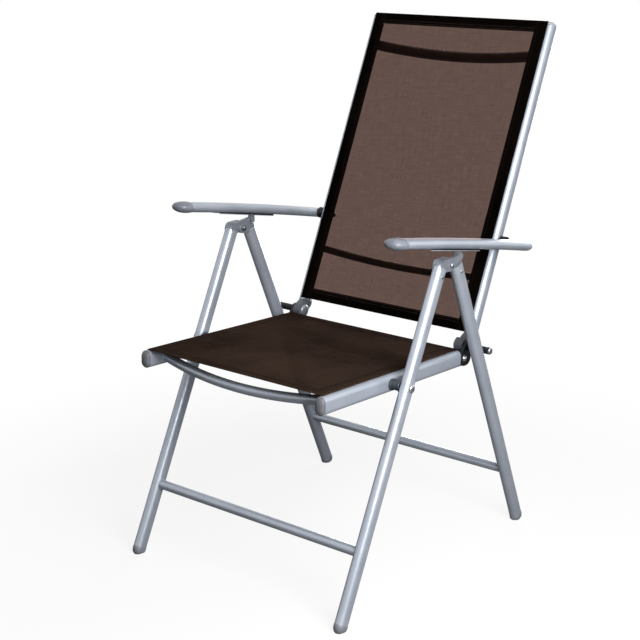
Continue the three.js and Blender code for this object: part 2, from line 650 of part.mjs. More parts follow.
// A shape in (u, v) given thickness across the chair, centred on the arm
function armPlate(shape, width) {
  const settings = { depth: width, bevelEnabled: false, curveSegments: 3 };
  const geometry = new THREE.ExtrudeGeometry(shape, settings);
  const alongArm = new THREE.Vector3(0, armFront.x, armFront.y);
  const aboveArm = new THREE.Vector3(0, armUp.x, armUp.y);
  const basis = new THREE.Matrix4().makeBasis(alongArm, aboveArm, new THREE.Vector3(-1, 0, 0));
  geometry.applyMatrix4(basis.setPosition(ARM_X + width / 2, armPivot.x, armPivot.y));
  return toSolid(geometry);
}

const rackRear = LATCH_REACH - NOTCHES_BEHIND_PIN * NOTCH_PITCH - RACK_MARGIN;
const rackFront = rackRear + 2 * RACK_MARGIN + (NOTCH_COUNT - 1) * NOTCH_PITCH;
const rackMiddle = (rackRear + rackFront) / 2;
const rackHalf = (rackFront - rackRear) / 2;
const boreHalfWidth = ARM_WIDTH / 2 - TUBE_WALL;
const boreHalfHeight = ARM_HEIGHT / 2 - TUBE_WALL;
const rackTop = boreHalfHeight * Math.sqrt(1 - (RACK_WIDTH / 2 / boreHalfWidth) ** 2) - FIT
  + armDrop(rackFront);
const pinTop = -LATCH_DROP + LATCH_PIN_RADIUS + PIN_PLAY;

// Height of the tooth tips: a shallow arc that just clears the latch pin's path
function tipHeight(u) {
  const atPin = ((LATCH_REACH - rackMiddle) / rackHalf) ** 2;
  return pinTop + RACK_BOW * (((u - rackMiddle) / rackHalf) ** 2 - atPin);
}

function rack() {
  const outline = new THREE.Shape();
  outline.moveTo(rackFront, rackTop);
  outline.lineTo(rackRear, rackTop);
  outline.lineTo(rackRear, tipHeight(rackRear));
  for (let i = 0; i < NOTCH_COUNT; i += 1) {
    const u = rackRear + RACK_MARGIN + i * NOTCH_PITCH;
    outline.lineTo(u - NOTCH_RADIUS, tipHeight(u - NOTCH_RADIUS));
    const top = tipHeight(u) + NOTCH_RADIUS * 0.7;
    outline.quadraticCurveTo(u - NOTCH_RADIUS * 0.8, top, u, top);
    outline.quadraticCurveTo(u + NOTCH_RADIUS * 0.8, top, u + NOTCH_RADIUS, tipHeight(u + NOTCH_RADIUS));
  }
  outline.lineTo(rackFront, tipHeight(rackFront));
  return armPlate(outline, RACK_WIDTH);
}

function armTube() {
  const point = (u, v) => new THREE.Vector3(ARM_X, onArm(u, v).x, onArm(u, v).y);
  const path = new THREE.QuadraticBezierCurve3(
    point(-ARM_REAR, -ARM_ARCH), point(armCrown, ARM_ARCH), point(ARM_FRONT, -ARM_ARCH));
  const section = hollow(oval(ARM_WIDTH, ARM_HEIGHT), oval(2 * boreHalfWidth, 2 * boreHalfHeight));
  const tube = toSolid(new THREE.ExtrudeGeometry(section, { steps: ARM_STEPS, extrudePath: path }));
  const slot = new THREE.Shape();
  slot.moveTo(rackRear - SLOT_MARGIN, -ARM_HEIGHT);
  slot.lineTo(rackFront + SLOT_MARGIN, -ARM_HEIGHT);
  slot.lineTo(rackFront + SLOT_MARGIN, 0);
  slot.lineTo(rackRear - SLOT_MARGIN, 0);
  return cut(tube, armPlate(slot, SLOT_WIDTH), rod(armPivot, BUSH_RADIUS + FIT, armInnerX - 1, ARM_X));
}

// Front cap: a swollen oval nose with a socket that slides over the tube
function armFrontCap() {
  const inner = 1;
  const outer = ARM_CAP_SWELL;
  const profile = [[0, 0], [inner, 0], [inner, -ARM_CAP_SLEEVE], [outer * 0.97, -ARM_CAP_SLEEVE],
    [outer, -ARM_CAP_SLEEVE * 0.5], [outer, 0], [outer * 0.93, ARM_CAP_NOSE * 0.45],
    [outer * 0.7, ARM_CAP_NOSE * 0.82], [outer * 0.35, ARM_CAP_NOSE * 0.97], [0, ARM_CAP_NOSE]];
  const socket = oval(ARM_WIDTH + 2 * FIT, ARM_HEIGHT + 2 * FIT);
  const mouth = onArm(ARM_FRONT, armDrop(ARM_FRONT));
  const heading = armHeading(ARM_FRONT);
  return loft(socket, profile, ARM_X, from(mouth, heading, FIT), heading);
}

// Bolt through the back tube, held in the bush inside the armrest
function armBolt() {
  const headX = railInnerX - FIT;
  const endX = armInnerX + BUSH_DEPTH + FIT;
  return turned(armPivot, [
    [0, headX - NUT_HEIGHT],
    [NUT_RADIUS * 0.75, headX - NUT_HEIGHT],
    [NUT_RADIUS, headX - NUT_HEIGHT * 0.7],
    [NUT_RADIUS, headX],
    [BOLT_RADIUS, headX],
    [BOLT_RADIUS, endX],
    [BUSH_RADIUS - 1, endX],
    [BUSH_RADIUS - 1, endX + 3],
    [0, endX + 3],
  ]);
}

function armBush() {
  const bore = BOLT_RADIUS + FIT;
  return turned(armPivot, [
    [bore, railOuterX + FIT],
    [BUSH_FLANGE_RADIUS, railOuterX + FIT],
    [BUSH_FLANGE_RADIUS, armInnerX - FIT],
    [BUSH_RADIUS, armInnerX - FIT],
    [BUSH_RADIUS, armInnerX + BUSH_DEPTH],
    [bore, armInnerX + BUSH_DEPTH],
    [bore, railOuterX + FIT],
  ]);
}

addPair('arm_bolt', armBolt(), STEEL);
addPair('arm_bush', armBush(), DARK_PLASTIC);
addPair('armrest', armTube(), FRAME);
addPair('rack', rack(), DARK_PLASTIC);
addPair('arm_front_cap', armFrontCap(), GREY_PLASTIC);
const armTail = armHeading(-ARM_REAR).negate();
const armTenon = new THREE.Shape(oval(2 * (boreHalfWidth - FIT), 2 * (boreHalfHeight - FIT)));
addPair('arm_rear_cap', tubePlug(ARM_X, onArm(-ARM_REAR, armDrop(-ARM_REAR)), armTail, oval(ARM_WIDTH, ARM_HEIGHT),
  armTenon, PLUG_FLANGE, ARM_END_DOME, PLUG_TENON), GREY_PLASTIC);

export default chair;
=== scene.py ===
import itertools
import json
import math
from dataclasses import dataclass

import bmesh
import bpy
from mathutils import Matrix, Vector


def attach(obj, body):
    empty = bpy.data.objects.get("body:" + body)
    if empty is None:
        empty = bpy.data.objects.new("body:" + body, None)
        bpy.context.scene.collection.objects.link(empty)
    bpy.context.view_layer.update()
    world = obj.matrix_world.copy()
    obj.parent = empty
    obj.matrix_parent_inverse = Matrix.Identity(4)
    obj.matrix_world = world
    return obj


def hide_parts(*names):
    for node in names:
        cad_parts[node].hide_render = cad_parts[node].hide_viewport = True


# Folding recliner chair: silver tube frame, two stretched mesh slings, toothed armrests.
# Shapes are worked out in millimetres in the chair's own frame and scaled to metres when a mesh is made.
# Side-plane points are Vector((y, z)). Left-hand pieces are built and the right-hand ones mirrored.
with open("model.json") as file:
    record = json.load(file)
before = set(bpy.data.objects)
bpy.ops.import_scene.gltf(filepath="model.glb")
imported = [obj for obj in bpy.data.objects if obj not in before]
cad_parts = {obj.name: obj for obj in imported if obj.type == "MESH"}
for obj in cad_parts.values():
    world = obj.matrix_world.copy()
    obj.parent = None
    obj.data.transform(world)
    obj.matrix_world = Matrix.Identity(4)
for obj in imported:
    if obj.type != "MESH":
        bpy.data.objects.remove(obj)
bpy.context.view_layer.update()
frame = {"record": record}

MM = 0.001

# Tube frame
FIT = 0.3
LEG_X = 268.8
LEG_WIDTH = 22
LEG_DEPTH = 30
TUBE_WALL = 1.2
TUBE_EDGE = 0.35
FRONT_FOOT_Y = -397.4
FRONT_LEAN = 25.92
FRONT_TUBE_TOP = 717
REAR_FOOT_Y = 254
REAR_LEAN = -23.84
REAR_TUBE_TOP = 700
CROSSBAR_HEIGHT = 137
CROSSBAR_DIAMETER = 20
FOOT_SOLE = 14
FOOT_RIM = 5
FOOT_DOME = 15
FOOT_SWELL = 1.035

# Hinge heads
EAR_RADIUS = 12
HEAD_COLLAR = 2.4
NECK_WIDTH = 8.4
NECK_THICKNESS = 10
NECK_RISE = 10
NECK_FLARE = 0.7
NECK_BELOW_PIN = 0.75
HEAD_INSET = 0.5
CROWN_INSET = 1
SHOULDER_RISE = 4
REAR_EAR_TAPER = 0.75
SWEEP_REACH = 7.5
ROOF_RISE = 8
ROOF_RADIUS = 7
RIVET_BELOW_FRONT = 18
RIVET_BELOW_REAR = 14
RIVET_HEAD_RADIUS = 4
RIVET_SINK = 0.4
RIVET_RIM = 0.4
RIVET_DOME = 1.8

# Fasteners
BOLT_RADIUS = 4
BOLT_HEAD_RADIUS = 8
BOLT_HEAD_HEIGHT = 4.4
NUT_RADIUS = 7
NUT_HEIGHT = 5
NUT_SIDES = 6
RAIL_BOLT_HEAD_RADIUS = 4.6
RAIL_BOLT_HEAD_START = 0.7
RAIL_BOLT_RIM = 1.4
RAIL_BOLT_DOME = 2.9
WASHER_REACH = 1.8
WASHER_EDGE = 0.4
HINGE_BOLT_HEAD_RADIUS = 5.6
HEAD_RIM = 1.2
HEAD_EDGE_INSET = 0.5
HEAD_EDGE_RISE = 0.4
THREAD_END = 1.6
ARM_THREAD_END = 1.5
CHAMFER = 0.6
PIN_CHAMFER = 0.8

# Seat and back
RAIL_X = 223
RAIL_WIDTH = 22
RAIL_DEPTH = 36
SEAT_SLOPE = 3.12
RAIL_FRONT = 206
RAIL_REAR = 246
PLUG_FLANGE = 3
PLUG_DOME = 6
SPACER_RADIUS = 12
SPACER_RIM = 3.2
SPACER_WAIST_START = 4.4
SPACER_WAIST_RADIUS = 9.8
BOW_DIAMETER = 20
LOWER_BOW_DIAMETER = 16
LOWER_BOW_DROOP = 10
TOP_BOW_DIAMETER = 23
TOP_BOW_DROOP = 11
SEAT_BOW_FRONT = 158
FRONT_BOW_FORWARD = 22
SEAT_BOW_REAR = 205
BOW_SAG = 18
STOP_PIN_RADIUS = 7.5
STOP_PIN_REACH = 9
STOP_PIN_TIP = 4
STOP_PIN_EDGE = 0.5
STOP_PIN_DOME = 3.6
BACK_PIN_HEAD_RADIUS = 13
BACK_PIN_HEAD_DOME = 3.4
KNUCKLE_RADIUS = 16
KNUCKLE_INNER_X = 206
KNUCKLE_OUTER_X = 226
KNUCKLE_COLLAR = 7
KNUCKLE_ROOT = 5
KNUCKLE_ROOT_RADIUS = 14
HINGE_EYE_RADIUS = 13
RAIL_END_RADIUS = 16.5
RAIL_END_REACH = 14
RAIL_END_INSET = 2
RAIL_END_TAIL = 8
BACK_LEAN = 24.33
BACK_RECLINE = 27
BACK_TUBE_START = 24.5
BACK_TUBE_TOP = 700
BACK_DEPTH = 29
BACK_AXIS_BEHIND = 15
BACK_BOW_LOW = 150
BACK_BOW_HIGH = 637
BACK_BOW_BEHIND = 14

# Slings
SLING_HALF_WIDTH = 224
SLING_THICKNESS = 1.2
SEAT_SLING_FRONT = -204
SEAT_SLING_REAR = 248
BACK_SLING_LOW = 28
BACK_SLING_HIGH = 707
SEAT_SAG = 6
BACK_SAG = 7
SIDE_HEM = 29
END_HEM = 25
HEM_THICKNESS = 2.4
HEM_EDGE = 2.0
HEM_EDGE_LEAST = 0.25
HEM_OVERLAP = 0.6
END_HEM_THINNER = 0.2
CLOTH_INSET = 1
SAG_FLATNESS = 0.8
STITCH_PITCH = 4.2
STITCH_LENGTH = 3.4
STITCH_RADIUS = 0.5
STITCH_INSETS = (3, 8)
STITCH_SINK = 0.1
STITCH_RISE = 0.5
STITCH_ARCH = 2.4

# A stitch's sections: place along it as a share of its length, and thickness as a share
STITCH_SECTIONS = ((-0.5, 0.35), (-0.3, 0.95), (0.0, 1.05), (0.3, 0.95), (0.5, 0.35))

# Ripples along the cloth: pitch, phase and height
RIPPLES = ((61, 0.9, 0.35), (37, 0, 0.2))

# Armrests
ARM_X = 268.8
ARM_WIDTH = 40
ARM_HEIGHT = 21
ARM_SLOPE = 10.82
ARM_REAR = 34
ARM_FRONT = 432
ARM_ARCH = 3
BUSH_RADIUS = 7
BUSH_FLANGE_RADIUS = 12.5
BUSH_DEPTH = 13
ARM_DISC_INSET = 1
ARM_DISC_HEIGHT = 3
ARM_DISC_EDGE = 0.3
ARM_CAP_SLEEVE = 8
ARM_CAP_INSIDE = 2
ARM_CAP_MOUTH = 0.978
ARM_CAP_NOSE = 26
ARM_CAP_SWELL = 1.1
ARM_CAP_BLUNTNESS = 0.7
ARM_END_DOME = 9
LATCH_REACH = 219.4
LATCH_DROP = 8
LATCH_PIN_RADIUS = 4
LATCH_PIN_LENGTH = 15
PIN_PLAY = 0.5
NOTCH_COUNT = 7
NOTCH_PITCH = 24
NOTCHES_BEHIND_PIN = 2
NOTCH_RADIUS = 7
NOTCH_DEPTH = 4.2
RACK_MARGIN = 13
RACK_WIDTH = 17
RACK_BOW = 5.3
SLOT_WIDTH = 19
SLOT_MARGIN = 4
LINER_WIDTH = 2.0
LINER_DROP = 0.6
LINER_BITE = 2.2
LIP_HEIGHT = 1.5

# Necks of the plugs and the front cap's lip: share of the full outline, and distance outward
FOOT_NECK = ((0.8, -3), (1.005, 0.2), (FOOT_SWELL, 0.9))
RAIL_PLUG_NECK = ((0.75, -6), (0.86, -0.4), (0.985, FIT - 0.1), (1.0, FIT + 0.5),
                  (1.0, FIT + PLUG_FLANGE - 0.6), (0.985, FIT + PLUG_FLANGE))
RAIL_PLUG_RIM = 0.95
ARM_PLUG_NECK = ((0.8, -6), (0.9, -0.4), (0.98, FIT - 0.1), (1.0, FIT + 0.4))
ARM_CAP_LIP = ((0.955, 0), (0.975, 0.8))

# Rounding of edges
FRONT_HEAD_ROUNDING = 1.1
REAR_HEAD_ROUNDING = 0.9
NUT_ROUNDING = 0.7
RAIL_END_ROUNDING = 1.2
KNUCKLE_ROUNDING = 1.6
STRIP_ROUNDING = 0.5

# Fineness of the meshes
ARC_STEPS = 16
ROUND_STEPS = 40
OVAL_STEPS = 56
BOW_STEPS = 48
BOW_SIDES = 32
ARM_STEPS = 24
CAP_SLEEVE_STEPS = 6
CAP_NOSE_STEPS = 16
NOTCH_STEPS = 10
CLOTH_COLUMNS = 72
CLOTH_ROWS = 90
SIDE_HEM_COLUMNS = 6
END_HEM_ROWS = 8
HEM_EDGE_SHARES = (0.12, 0.35, 0.7)
STITCH_SIDES = 6
DOME_STEPS = 8
RAIL_PLUG_STEPS = 10
ARM_PLUG_STEPS = 12
SMOOTH_ANGLE = math.radians(38)
LOFT_TIP = 0.02
LEAST_RADIUS = 1e-4
MERGE_DISTANCE = 1e-3
LEAST_EDGE = 1e-4

# Offsets for cutting and joining: a cutter's reach and margin, and steps that keep faces from coinciding
CUT_REACH = 60
CUT_MARGIN = 1
STEP = 0.05
SWING_INNER_STEP = 0.01
SWING_OUTER_STEP = 0.001


# Side-plane helpers
def leaning(degrees):
    return Vector((math.sin(math.radians(degrees)), math.cos(math.radians(degrees))))


def rear_of(direction):
    return Vector((direction.y, -direction.x))


def joint_axis(name):
    joints = frame["record"]["behaviour"]["joints"]
    position = next(j["pos_m"] for j in joints if j["name"] == name)
    return Vector((position[1], position[2])) / MM


def placed(x, origin, direction, outline, along):
    """Points of a section outline (across, deep) set at a distance along a side-plane direction."""
    deep = rear_of(direction)
    centre = origin + direction * along
    return [Vector((x + a, centre.x + deep.x * d, centre.y + deep.y * d)) for a, d in outline]


# Section outlines
def arc(cx, cy, radius, start, end, steps):
    turns = [start + (end - start) * i / steps for i in range(steps + 1)]
    return [(cx + radius * math.cos(t), cy + radius * math.sin(t)) for t in turns]


def flat_oval(width, depth):
    radius = width / 2
    reach = depth / 2 - radius
    near = arc(0, reach, radius, 0, math.pi, ARC_STEPS)
    far = arc(0, -reach, radius, math.pi, 2 * math.pi, ARC_STEPS)
    return near + far


def oval(width, depth, steps=OVAL_STEPS):
    turns = [2 * math.pi * i / steps for i in range(steps)]
    return [(width / 2 * math.cos(t), depth / 2 * math.sin(t)) for t in turns]


# Solids are pairs of a vertex list and a face list
def skin(rings, closed=False):
    count = len(rings[0])
    points = [p for ring in rings for p in ring]
    faces = []
    last = len(rings) if closed else len(rings) - 1
    for r in range(last):
        low = r * count
        high = (r + 1) % len(rings) * count
        for i in range(count):
            j = (i + 1) % count
            faces.append((low + i, low + j, high + j, high + i))
    if not closed:
        faces.append(tuple(range(count))[::-1])
        faces.append(tuple(range((len(rings) - 1) * count, len(rings) * count)))
    return points, faces


def together(*solids):
    points = []
    faces = []
    for solid_points, solid_faces in solids:
        start = len(points)
        points.extend(solid_points)
        faces.extend(tuple(start + i for i in face) for face in solid_faces)
    return points, faces


def mirrored(solid):
    points, faces = solid
    return [Vector((-p.x, p.y, p.z)) for p in points], [tuple(reversed(face)) for face in faces]


def to_bmesh(solid):
    points, faces = solid
    mesh = bmesh.new()
    corners = [mesh.verts.new(p) for p in points]
    for face in faces:
        mesh.faces.new([corners[i] for i in face])
    bmesh.ops.remove_doubles(mesh, verts=mesh.verts, dist=MERGE_DISTANCE)
    bmesh.ops.dissolve_degenerate(mesh, edges=mesh.edges, dist=LEAST_EDGE)
    bmesh.ops.recalc_face_normals(mesh, faces=mesh.faces)
    return mesh


def from_bmesh(mesh):
    mesh.verts.index_update()
    solid = [v.co.copy() for v in mesh.verts], [tuple(v.index for v in f.verts) for f in mesh.faces]
    mesh.free()
    return solid


def add_object(name, data):
    made = bpy.data.objects.new(name, data)
    bpy.context.scene.collection.objects.link(made)
    return made


def scratch_object(solid):
    mesh = to_bmesh(solid)
    data = bpy.data.meshes.new("scratch")
    mesh.to_mesh(data)
    mesh.free()
    return add_object("scratch", data)


def boolean(solid, tool, operation):
    base = scratch_object(solid)
    other = scratch_object(tool)
    modifier = base.modifiers.new("boolean", "BOOLEAN")
    modifier.operation = operation
    modifier.solver = "EXACT"
    modifier.object = other
    evaluated = base.evaluated_get(bpy.context.evaluated_depsgraph_get())
    result = evaluated.to_mesh()
    found = [v.co.copy() for v in result.vertices], [tuple(p.vertices) for p in result.polygons]
    evaluated.to_mesh_clear()
    for done in (base, other):
        data = done.data
        bpy.data.objects.remove(done)
        bpy.data.meshes.remove(data)
    return found


def union(first, *others):
    whole = first
    for other in others:
        whole = boolean(whole, other, "UNION")
    return whole


def cut(solid, *tools):
    for tool in tools:
        solid = boolean(solid, tool, "DIFFERENCE")
    return solid


def softened(solid, width, angle=40, segments=2):
    """The solid with its sharp edges rounded."""
    mesh = to_bmesh(solid)
    sharp = [e for e in mesh.edges if len(e.link_faces) == 2 and e.calc_face_angle() > math.radians(angle)]
    bmesh.ops.bevel(mesh, geom=sharp, offset=width, segments=segments, profile=0.5, affect="EDGES",
                    clamp_overlap=True)
    return from_bmesh(mesh)


def floored(solid):
    """The solid cut off flat at the floor."""
    mesh = to_bmesh(solid)
    every = list(mesh.verts) + list(mesh.edges) + list(mesh.faces)
    bmesh.ops.bisect_plane(mesh, geom=every, plane_co=(0, 0, 0), plane_no=(0, 0, 1), clear_inner=True)
    bmesh.ops.holes_fill(mesh, edges=[e for e in mesh.edges if e.is_boundary], sides=0)
    return from_bmesh(mesh)


def tube(width, depth, x, origin, direction, start, end):
    """A straight hollow tube with lightly rounded ends."""
    edge = TUBE_EDGE
    profile = [(edge, start), (0, start + edge), (0, end - edge), (edge, end),
               (TUBE_WALL - edge, end), (TUBE_WALL, end - edge), (TUBE_WALL, start + edge),
               (TUBE_WALL - edge, start)]
    rings = [placed(x, origin, direction, flat_oval(width - 2 * i, depth - 2 * i), s) for i, s in profile]
    return skin(rings, closed=True)


def loft(outline, profile, x, origin, direction):
    """One outline scaled along its length: the profile is a list of (scale, distance)."""
    rings = [placed(x, origin, direction, [(a * k, d * k) for a, d in outline], s) for k, s in profile]
    return skin(rings)


def bar(width, depth, x, origin, direction, start, end):
    """A solid length of a tube's section."""
    return loft(flat_oval(width, depth), [(1, start), (1, end)], x, origin, direction)


def turned(centre, profile, steps=ROUND_STEPS):
    """A piece turned about an axis across the chair: the profile is a list of (radius, x)."""
    turns = [2 * math.pi * i / steps for i in range(steps)]
    rings = []
    for r, x in profile:
        radius = max(r, LEAST_RADIUS)
        ring = [(x, centre.x + radius * math.cos(t), centre.y + radius * math.sin(t)) for t in turns]
        rings.append([Vector(p) for p in ring])
    return skin(rings)


def cylinder(centre, radius, inner_x, outer_x, steps=ROUND_STEPS):
    return turned(centre, [(radius, inner_x), (radius, outer_x)], steps)


def strap(a, radius_a, b, radius_b, inner_x, outer_x):
    """A plate whose outline runs round two circles in the side plane, as a chain link's does."""
    heading = math.atan2(b.y - a.y, b.x - a.x)
    tangent = math.acos((radius_a - radius_b) / (b - a).length)
    outline = arc(a.x, a.y, radius_a, heading + tangent, heading - tangent + 2 * math.pi, ARC_STEPS)
    outline += arc(b.x, b.y, radius_b, heading - tangent, heading + tangent, ARC_STEPS)
    return skin([[Vector((x, y, z)) for y, z in outline] for x in (inner_x, outer_x)])


def dome(rim, base, height, steps=DOME_STEPS):
    """Profile of a low rounded head: (radius, distance) from its rim to its middle."""
    turns = [math.pi / 2 * i / steps for i in range(steps + 1)]
    return [(rim * math.cos(t), base + height * math.sin(t)) for t in turns]


def plug_profile(neck, rim, base, height, steps=DOME_STEPS):
    """Profile of a plug in a tube's end: its neck, then a dome up to its tip."""
    return [*neck, *dome(rim, base, height, steps)[:-1], (LOFT_TIP, base + height)]


def oval_half_width(width, depth, offset):
    """Half width of a flat-sided tube at a distance from its axis."""
    radius = width / 2
    past = max(abs(offset) - (depth / 2 - radius), 0)
    return math.sqrt(max(radius ** 2 - past ** 2, 0))


# Places that the pieces share
hinge = joint_axis("rear_leg_fold")
seat_pivot = joint_axis("fold")
back_pivot = joint_axis("back_fold")
arm_pivot = joint_axis("arm_fold")

front_foot = Vector((FRONT_FOOT_Y, 0))
front_up = leaning(FRONT_LEAN)
front_top = front_foot + front_up * FRONT_TUBE_TOP
rear_foot = Vector((REAR_FOOT_Y, 0))
rear_up = leaning(REAR_LEAN)
rear_top = rear_foot + rear_up * REAR_TUBE_TOP
leg_inner_x = LEG_X - LEG_WIDTH / 2
leg_outer_x = LEG_X + LEG_WIDTH / 2
rail_inner_x = RAIL_X - RAIL_WIDTH / 2
rail_outer_x = RAIL_X + RAIL_WIDTH / 2

seat_back = leaning(90 + SEAT_SLOPE)
seat_up = Vector((-seat_back.y, seat_back.x))
rail_end = seat_pivot + seat_back * RAIL_REAR
rail_front = seat_pivot - seat_back * RAIL_FRONT
end_centre = rail_end + seat_back * RAIL_END_REACH

back_up = leaning(BACK_LEAN)
back_rear = rear_of(back_up)
back_line = back_pivot + back_rear * BACK_AXIS_BEHIND

arm_front = leaning(ARM_SLOPE - 90)
arm_up = rear_of(arm_front)
latch = arm_pivot + arm_front * LATCH_REACH - arm_up * LATCH_DROP
arm_inner_x = ARM_X - ARM_WIDTH / 2
arm_crown = (ARM_FRONT - ARM_REAR) / 2
arm_half = (ARM_FRONT + ARM_REAR) / 2
rack_rear = LATCH_REACH - NOTCHES_BEHIND_PIN * NOTCH_PITCH - RACK_MARGIN
rack_front = rack_rear + 2 * RACK_MARGIN + (NOTCH_COUNT - 1) * NOTCH_PITCH
rack_middle = (rack_rear + rack_front) / 2
rack_half = (rack_front - rack_rear) / 2
slot_rear = rack_rear - SLOT_MARGIN
slot_front = rack_front + SLOT_MARGIN


# Materials. Most values of a noise texture lie within NOISE_SPAN.
NOISE_SPAN = (0.3, 0.7)
GRAIN_HEIGHT = 0.0002
WEAVE_PITCH = 0.0016
WEAVE_HEIGHT = 0.0004
WEAVE_STRENGTH = 0.35
THREAD_DETAIL = 3
THREAD_GRAIN = (26, 430, 1)
THREAD_SPAN = (0.36, 0.64)
TONE_SPAN = (0.38, 0.62)
TONE_PATCHES = 5
GAP_CHANGE = 0.1


class Finish:
    """A Principled material whose colour, gloss and grain come from noise in the piece's own coordinates."""

    def __init__(self, name, roughness, metallic=0.0):
        self.material = bpy.data.materials.new(name)
        self.material.use_nodes = True
        self.nodes = self.material.node_tree.nodes
        self.links = self.material.node_tree.links
        self.shader = self.nodes["Principled BSDF"]
        self.where = self.nodes.new("ShaderNodeTexCoord")
        self.fix("Roughness", roughness)
        self.fix("Metallic", metallic)

    def fix(self, socket, value):
        self.shader.inputs[socket].default_value = value

    def drive(self, socket, value):
        self.links.new(value, self.shader.inputs[socket])

    def noise(self, scale, detail, coordinates="Object", stretch=None):
        found = self.nodes.new("ShaderNodeTexNoise")
        found.inputs["Scale"].default_value = scale
        found.inputs["Detail"].default_value = detail
        source = self.where.outputs[coordinates]
        if stretch:
            mapping = self.nodes.new("ShaderNodeMapping")
            mapping.inputs["Scale"].default_value = stretch
            self.links.new(source, mapping.inputs["Vector"])
            source = mapping.outputs["Vector"]
        self.links.new(source, found.inputs["Vector"])
        return found.outputs["Fac"]

    def ramp(self, value, places, colours):
        found = self.nodes.new("ShaderNodeValToRGB")
        for stop, place, colour in zip(found.color_ramp.elements, places, colours):
            stop.position = place
            stop.color = (*colour, 1)
        self.links.new(value, found.inputs["Fac"])
        return found.outputs["Color"]

    def span(self, value, low, high, source=(0.0, 1.0), easing="LINEAR"):
        found = self.nodes.new("ShaderNodeMapRange")
        found.interpolation_type = easing
        found.inputs["From Min"].default_value = source[0]
        found.inputs["From Max"].default_value = source[1]
        found.inputs["To Min"].default_value = low
        found.inputs["To Max"].default_value = high
        self.links.new(value, found.inputs["Value"])
        return found.outputs["Result"]

    def math(self, operation, *values):
        found = self.nodes.new("ShaderNodeMath")
        found.operation = operation
        for socket, value in zip(found.inputs, values):
            if isinstance(value, (int, float)):
                socket.default_value = value
            else:
                self.links.new(value, socket)
        return found.outputs["Value"]

    def bump(self, height, strength, distance):
        found = self.nodes.new("ShaderNodeBump")
        found.inputs["Strength"].default_value = strength
        found.inputs["Distance"].default_value = distance
        self.links.new(height, found.inputs["Height"])
        self.drive("Normal", found.outputs["Normal"])

    def mottle(self, dark, light, scale, detail):
        self.drive("Base Color", self.ramp(self.noise(scale, detail), NOISE_SPAN, (dark, light)))

    def vary_gloss(self, roughness, change, scale, detail=3, stretch=None):
        patches = self.noise(scale, detail, stretch=stretch)
        self.drive("Roughness", self.span(patches, roughness - change, roughness + change, NOISE_SPAN))

    def grain(self, strength, scale, detail):
        self.bump(self.noise(scale, detail), strength, GRAIN_HEIGHT)

    def mix_in(self, other, share):
        """Put another shader's output over the Principled one, by a share."""
        found = self.nodes.new("ShaderNodeMixShader")
        self.links.new(share, found.inputs["Fac"])
        self.links.new(self.shader.outputs["BSDF"], found.inputs[1])
        self.links.new(other, found.inputs[2])
        self.links.new(found.outputs["Shader"], self.nodes["Material Output"].inputs["Surface"])


def coated_metal(name, dark, light, roughness, metallic, flake=700):
    finish = Finish(name, roughness, metallic)
    finish.mottle(dark, light, scale=14, detail=4)
    finish.vary_gloss(roughness, change=0.05, scale=60)
    finish.grain(strength=0.03, scale=flake, detail=2)
    return finish.material


def moulded(name, dark, light, roughness, grain=1400, specular=0.5):
    finish = Finish(name, roughness)
    finish.fix("Specular IOR Level", specular)
    finish.mottle(dark, light, scale=45, detail=4)
    finish.vary_gloss(roughness, change=0.07, scale=120)
    finish.grain(strength=0.25, scale=grain, detail=3)
    return finish.material


def plated_steel(name, dark, light, roughness):
    finish = Finish(name, roughness, metallic=1.0)
    finish.mottle(dark, light, scale=90, detail=3)
    finish.vary_gloss(roughness, change=0.08, scale=400, detail=2, stretch=(0.2, 1, 1))
    finish.grain(strength=0.08, scale=1500, detail=2)
    return finish.material


def woven(name, dark, light, clear, tint=(1, 1, 1)):
    """Coated mesh: crossing yarns, with a share of the light passing through the gaps between them."""
    finish = Finish(name, roughness=0.6)
    finish.fix("Specular IOR Level", 0.0)
    split = finish.nodes.new("ShaderNodeSeparateXYZ")
    finish.links.new(finish.where.outputs["UV"], split.inputs["Vector"])
    yarns = []
    for axis in ("X", "Y"):
        turns = finish.math("MULTIPLY", split.outputs[axis], math.pi / WEAVE_PITCH)
        yarns.append(finish.math("ABSOLUTE", finish.math("SINE", turns)))
    finish.bump(finish.math("MAXIMUM", *yarns), WEAVE_STRENGTH, WEAVE_HEIGHT)
    weft = finish.noise(1.0, THREAD_DETAIL, "UV", THREAD_GRAIN)
    warp = finish.noise(1.0, THREAD_DETAIL, "UV", (THREAD_GRAIN[1], THREAD_GRAIN[0], 1))
    threads = finish.math("MULTIPLY", finish.math("ADD", weft, warp), 0.5)
    patches = finish.noise(TONE_PATCHES, detail=2, coordinates="UV")
    tone = finish.math("MULTIPLY", finish.math("ADD", threads, patches), 0.5)
    finish.drive("Base Color", finish.ramp(tone, TONE_SPAN, (dark, light)))
    if clear:
        gaps = finish.nodes.new("ShaderNodeBsdfTransparent")
        gaps.inputs["Color"].default_value = (*tint, 1)
        share = finish.span(threads, clear * (1 - GAP_CHANGE), clear * (1 + GAP_CHANGE), THREAD_SPAN)
        finish.mix_in(gaps.outputs["BSDF"], share)
    return finish.material


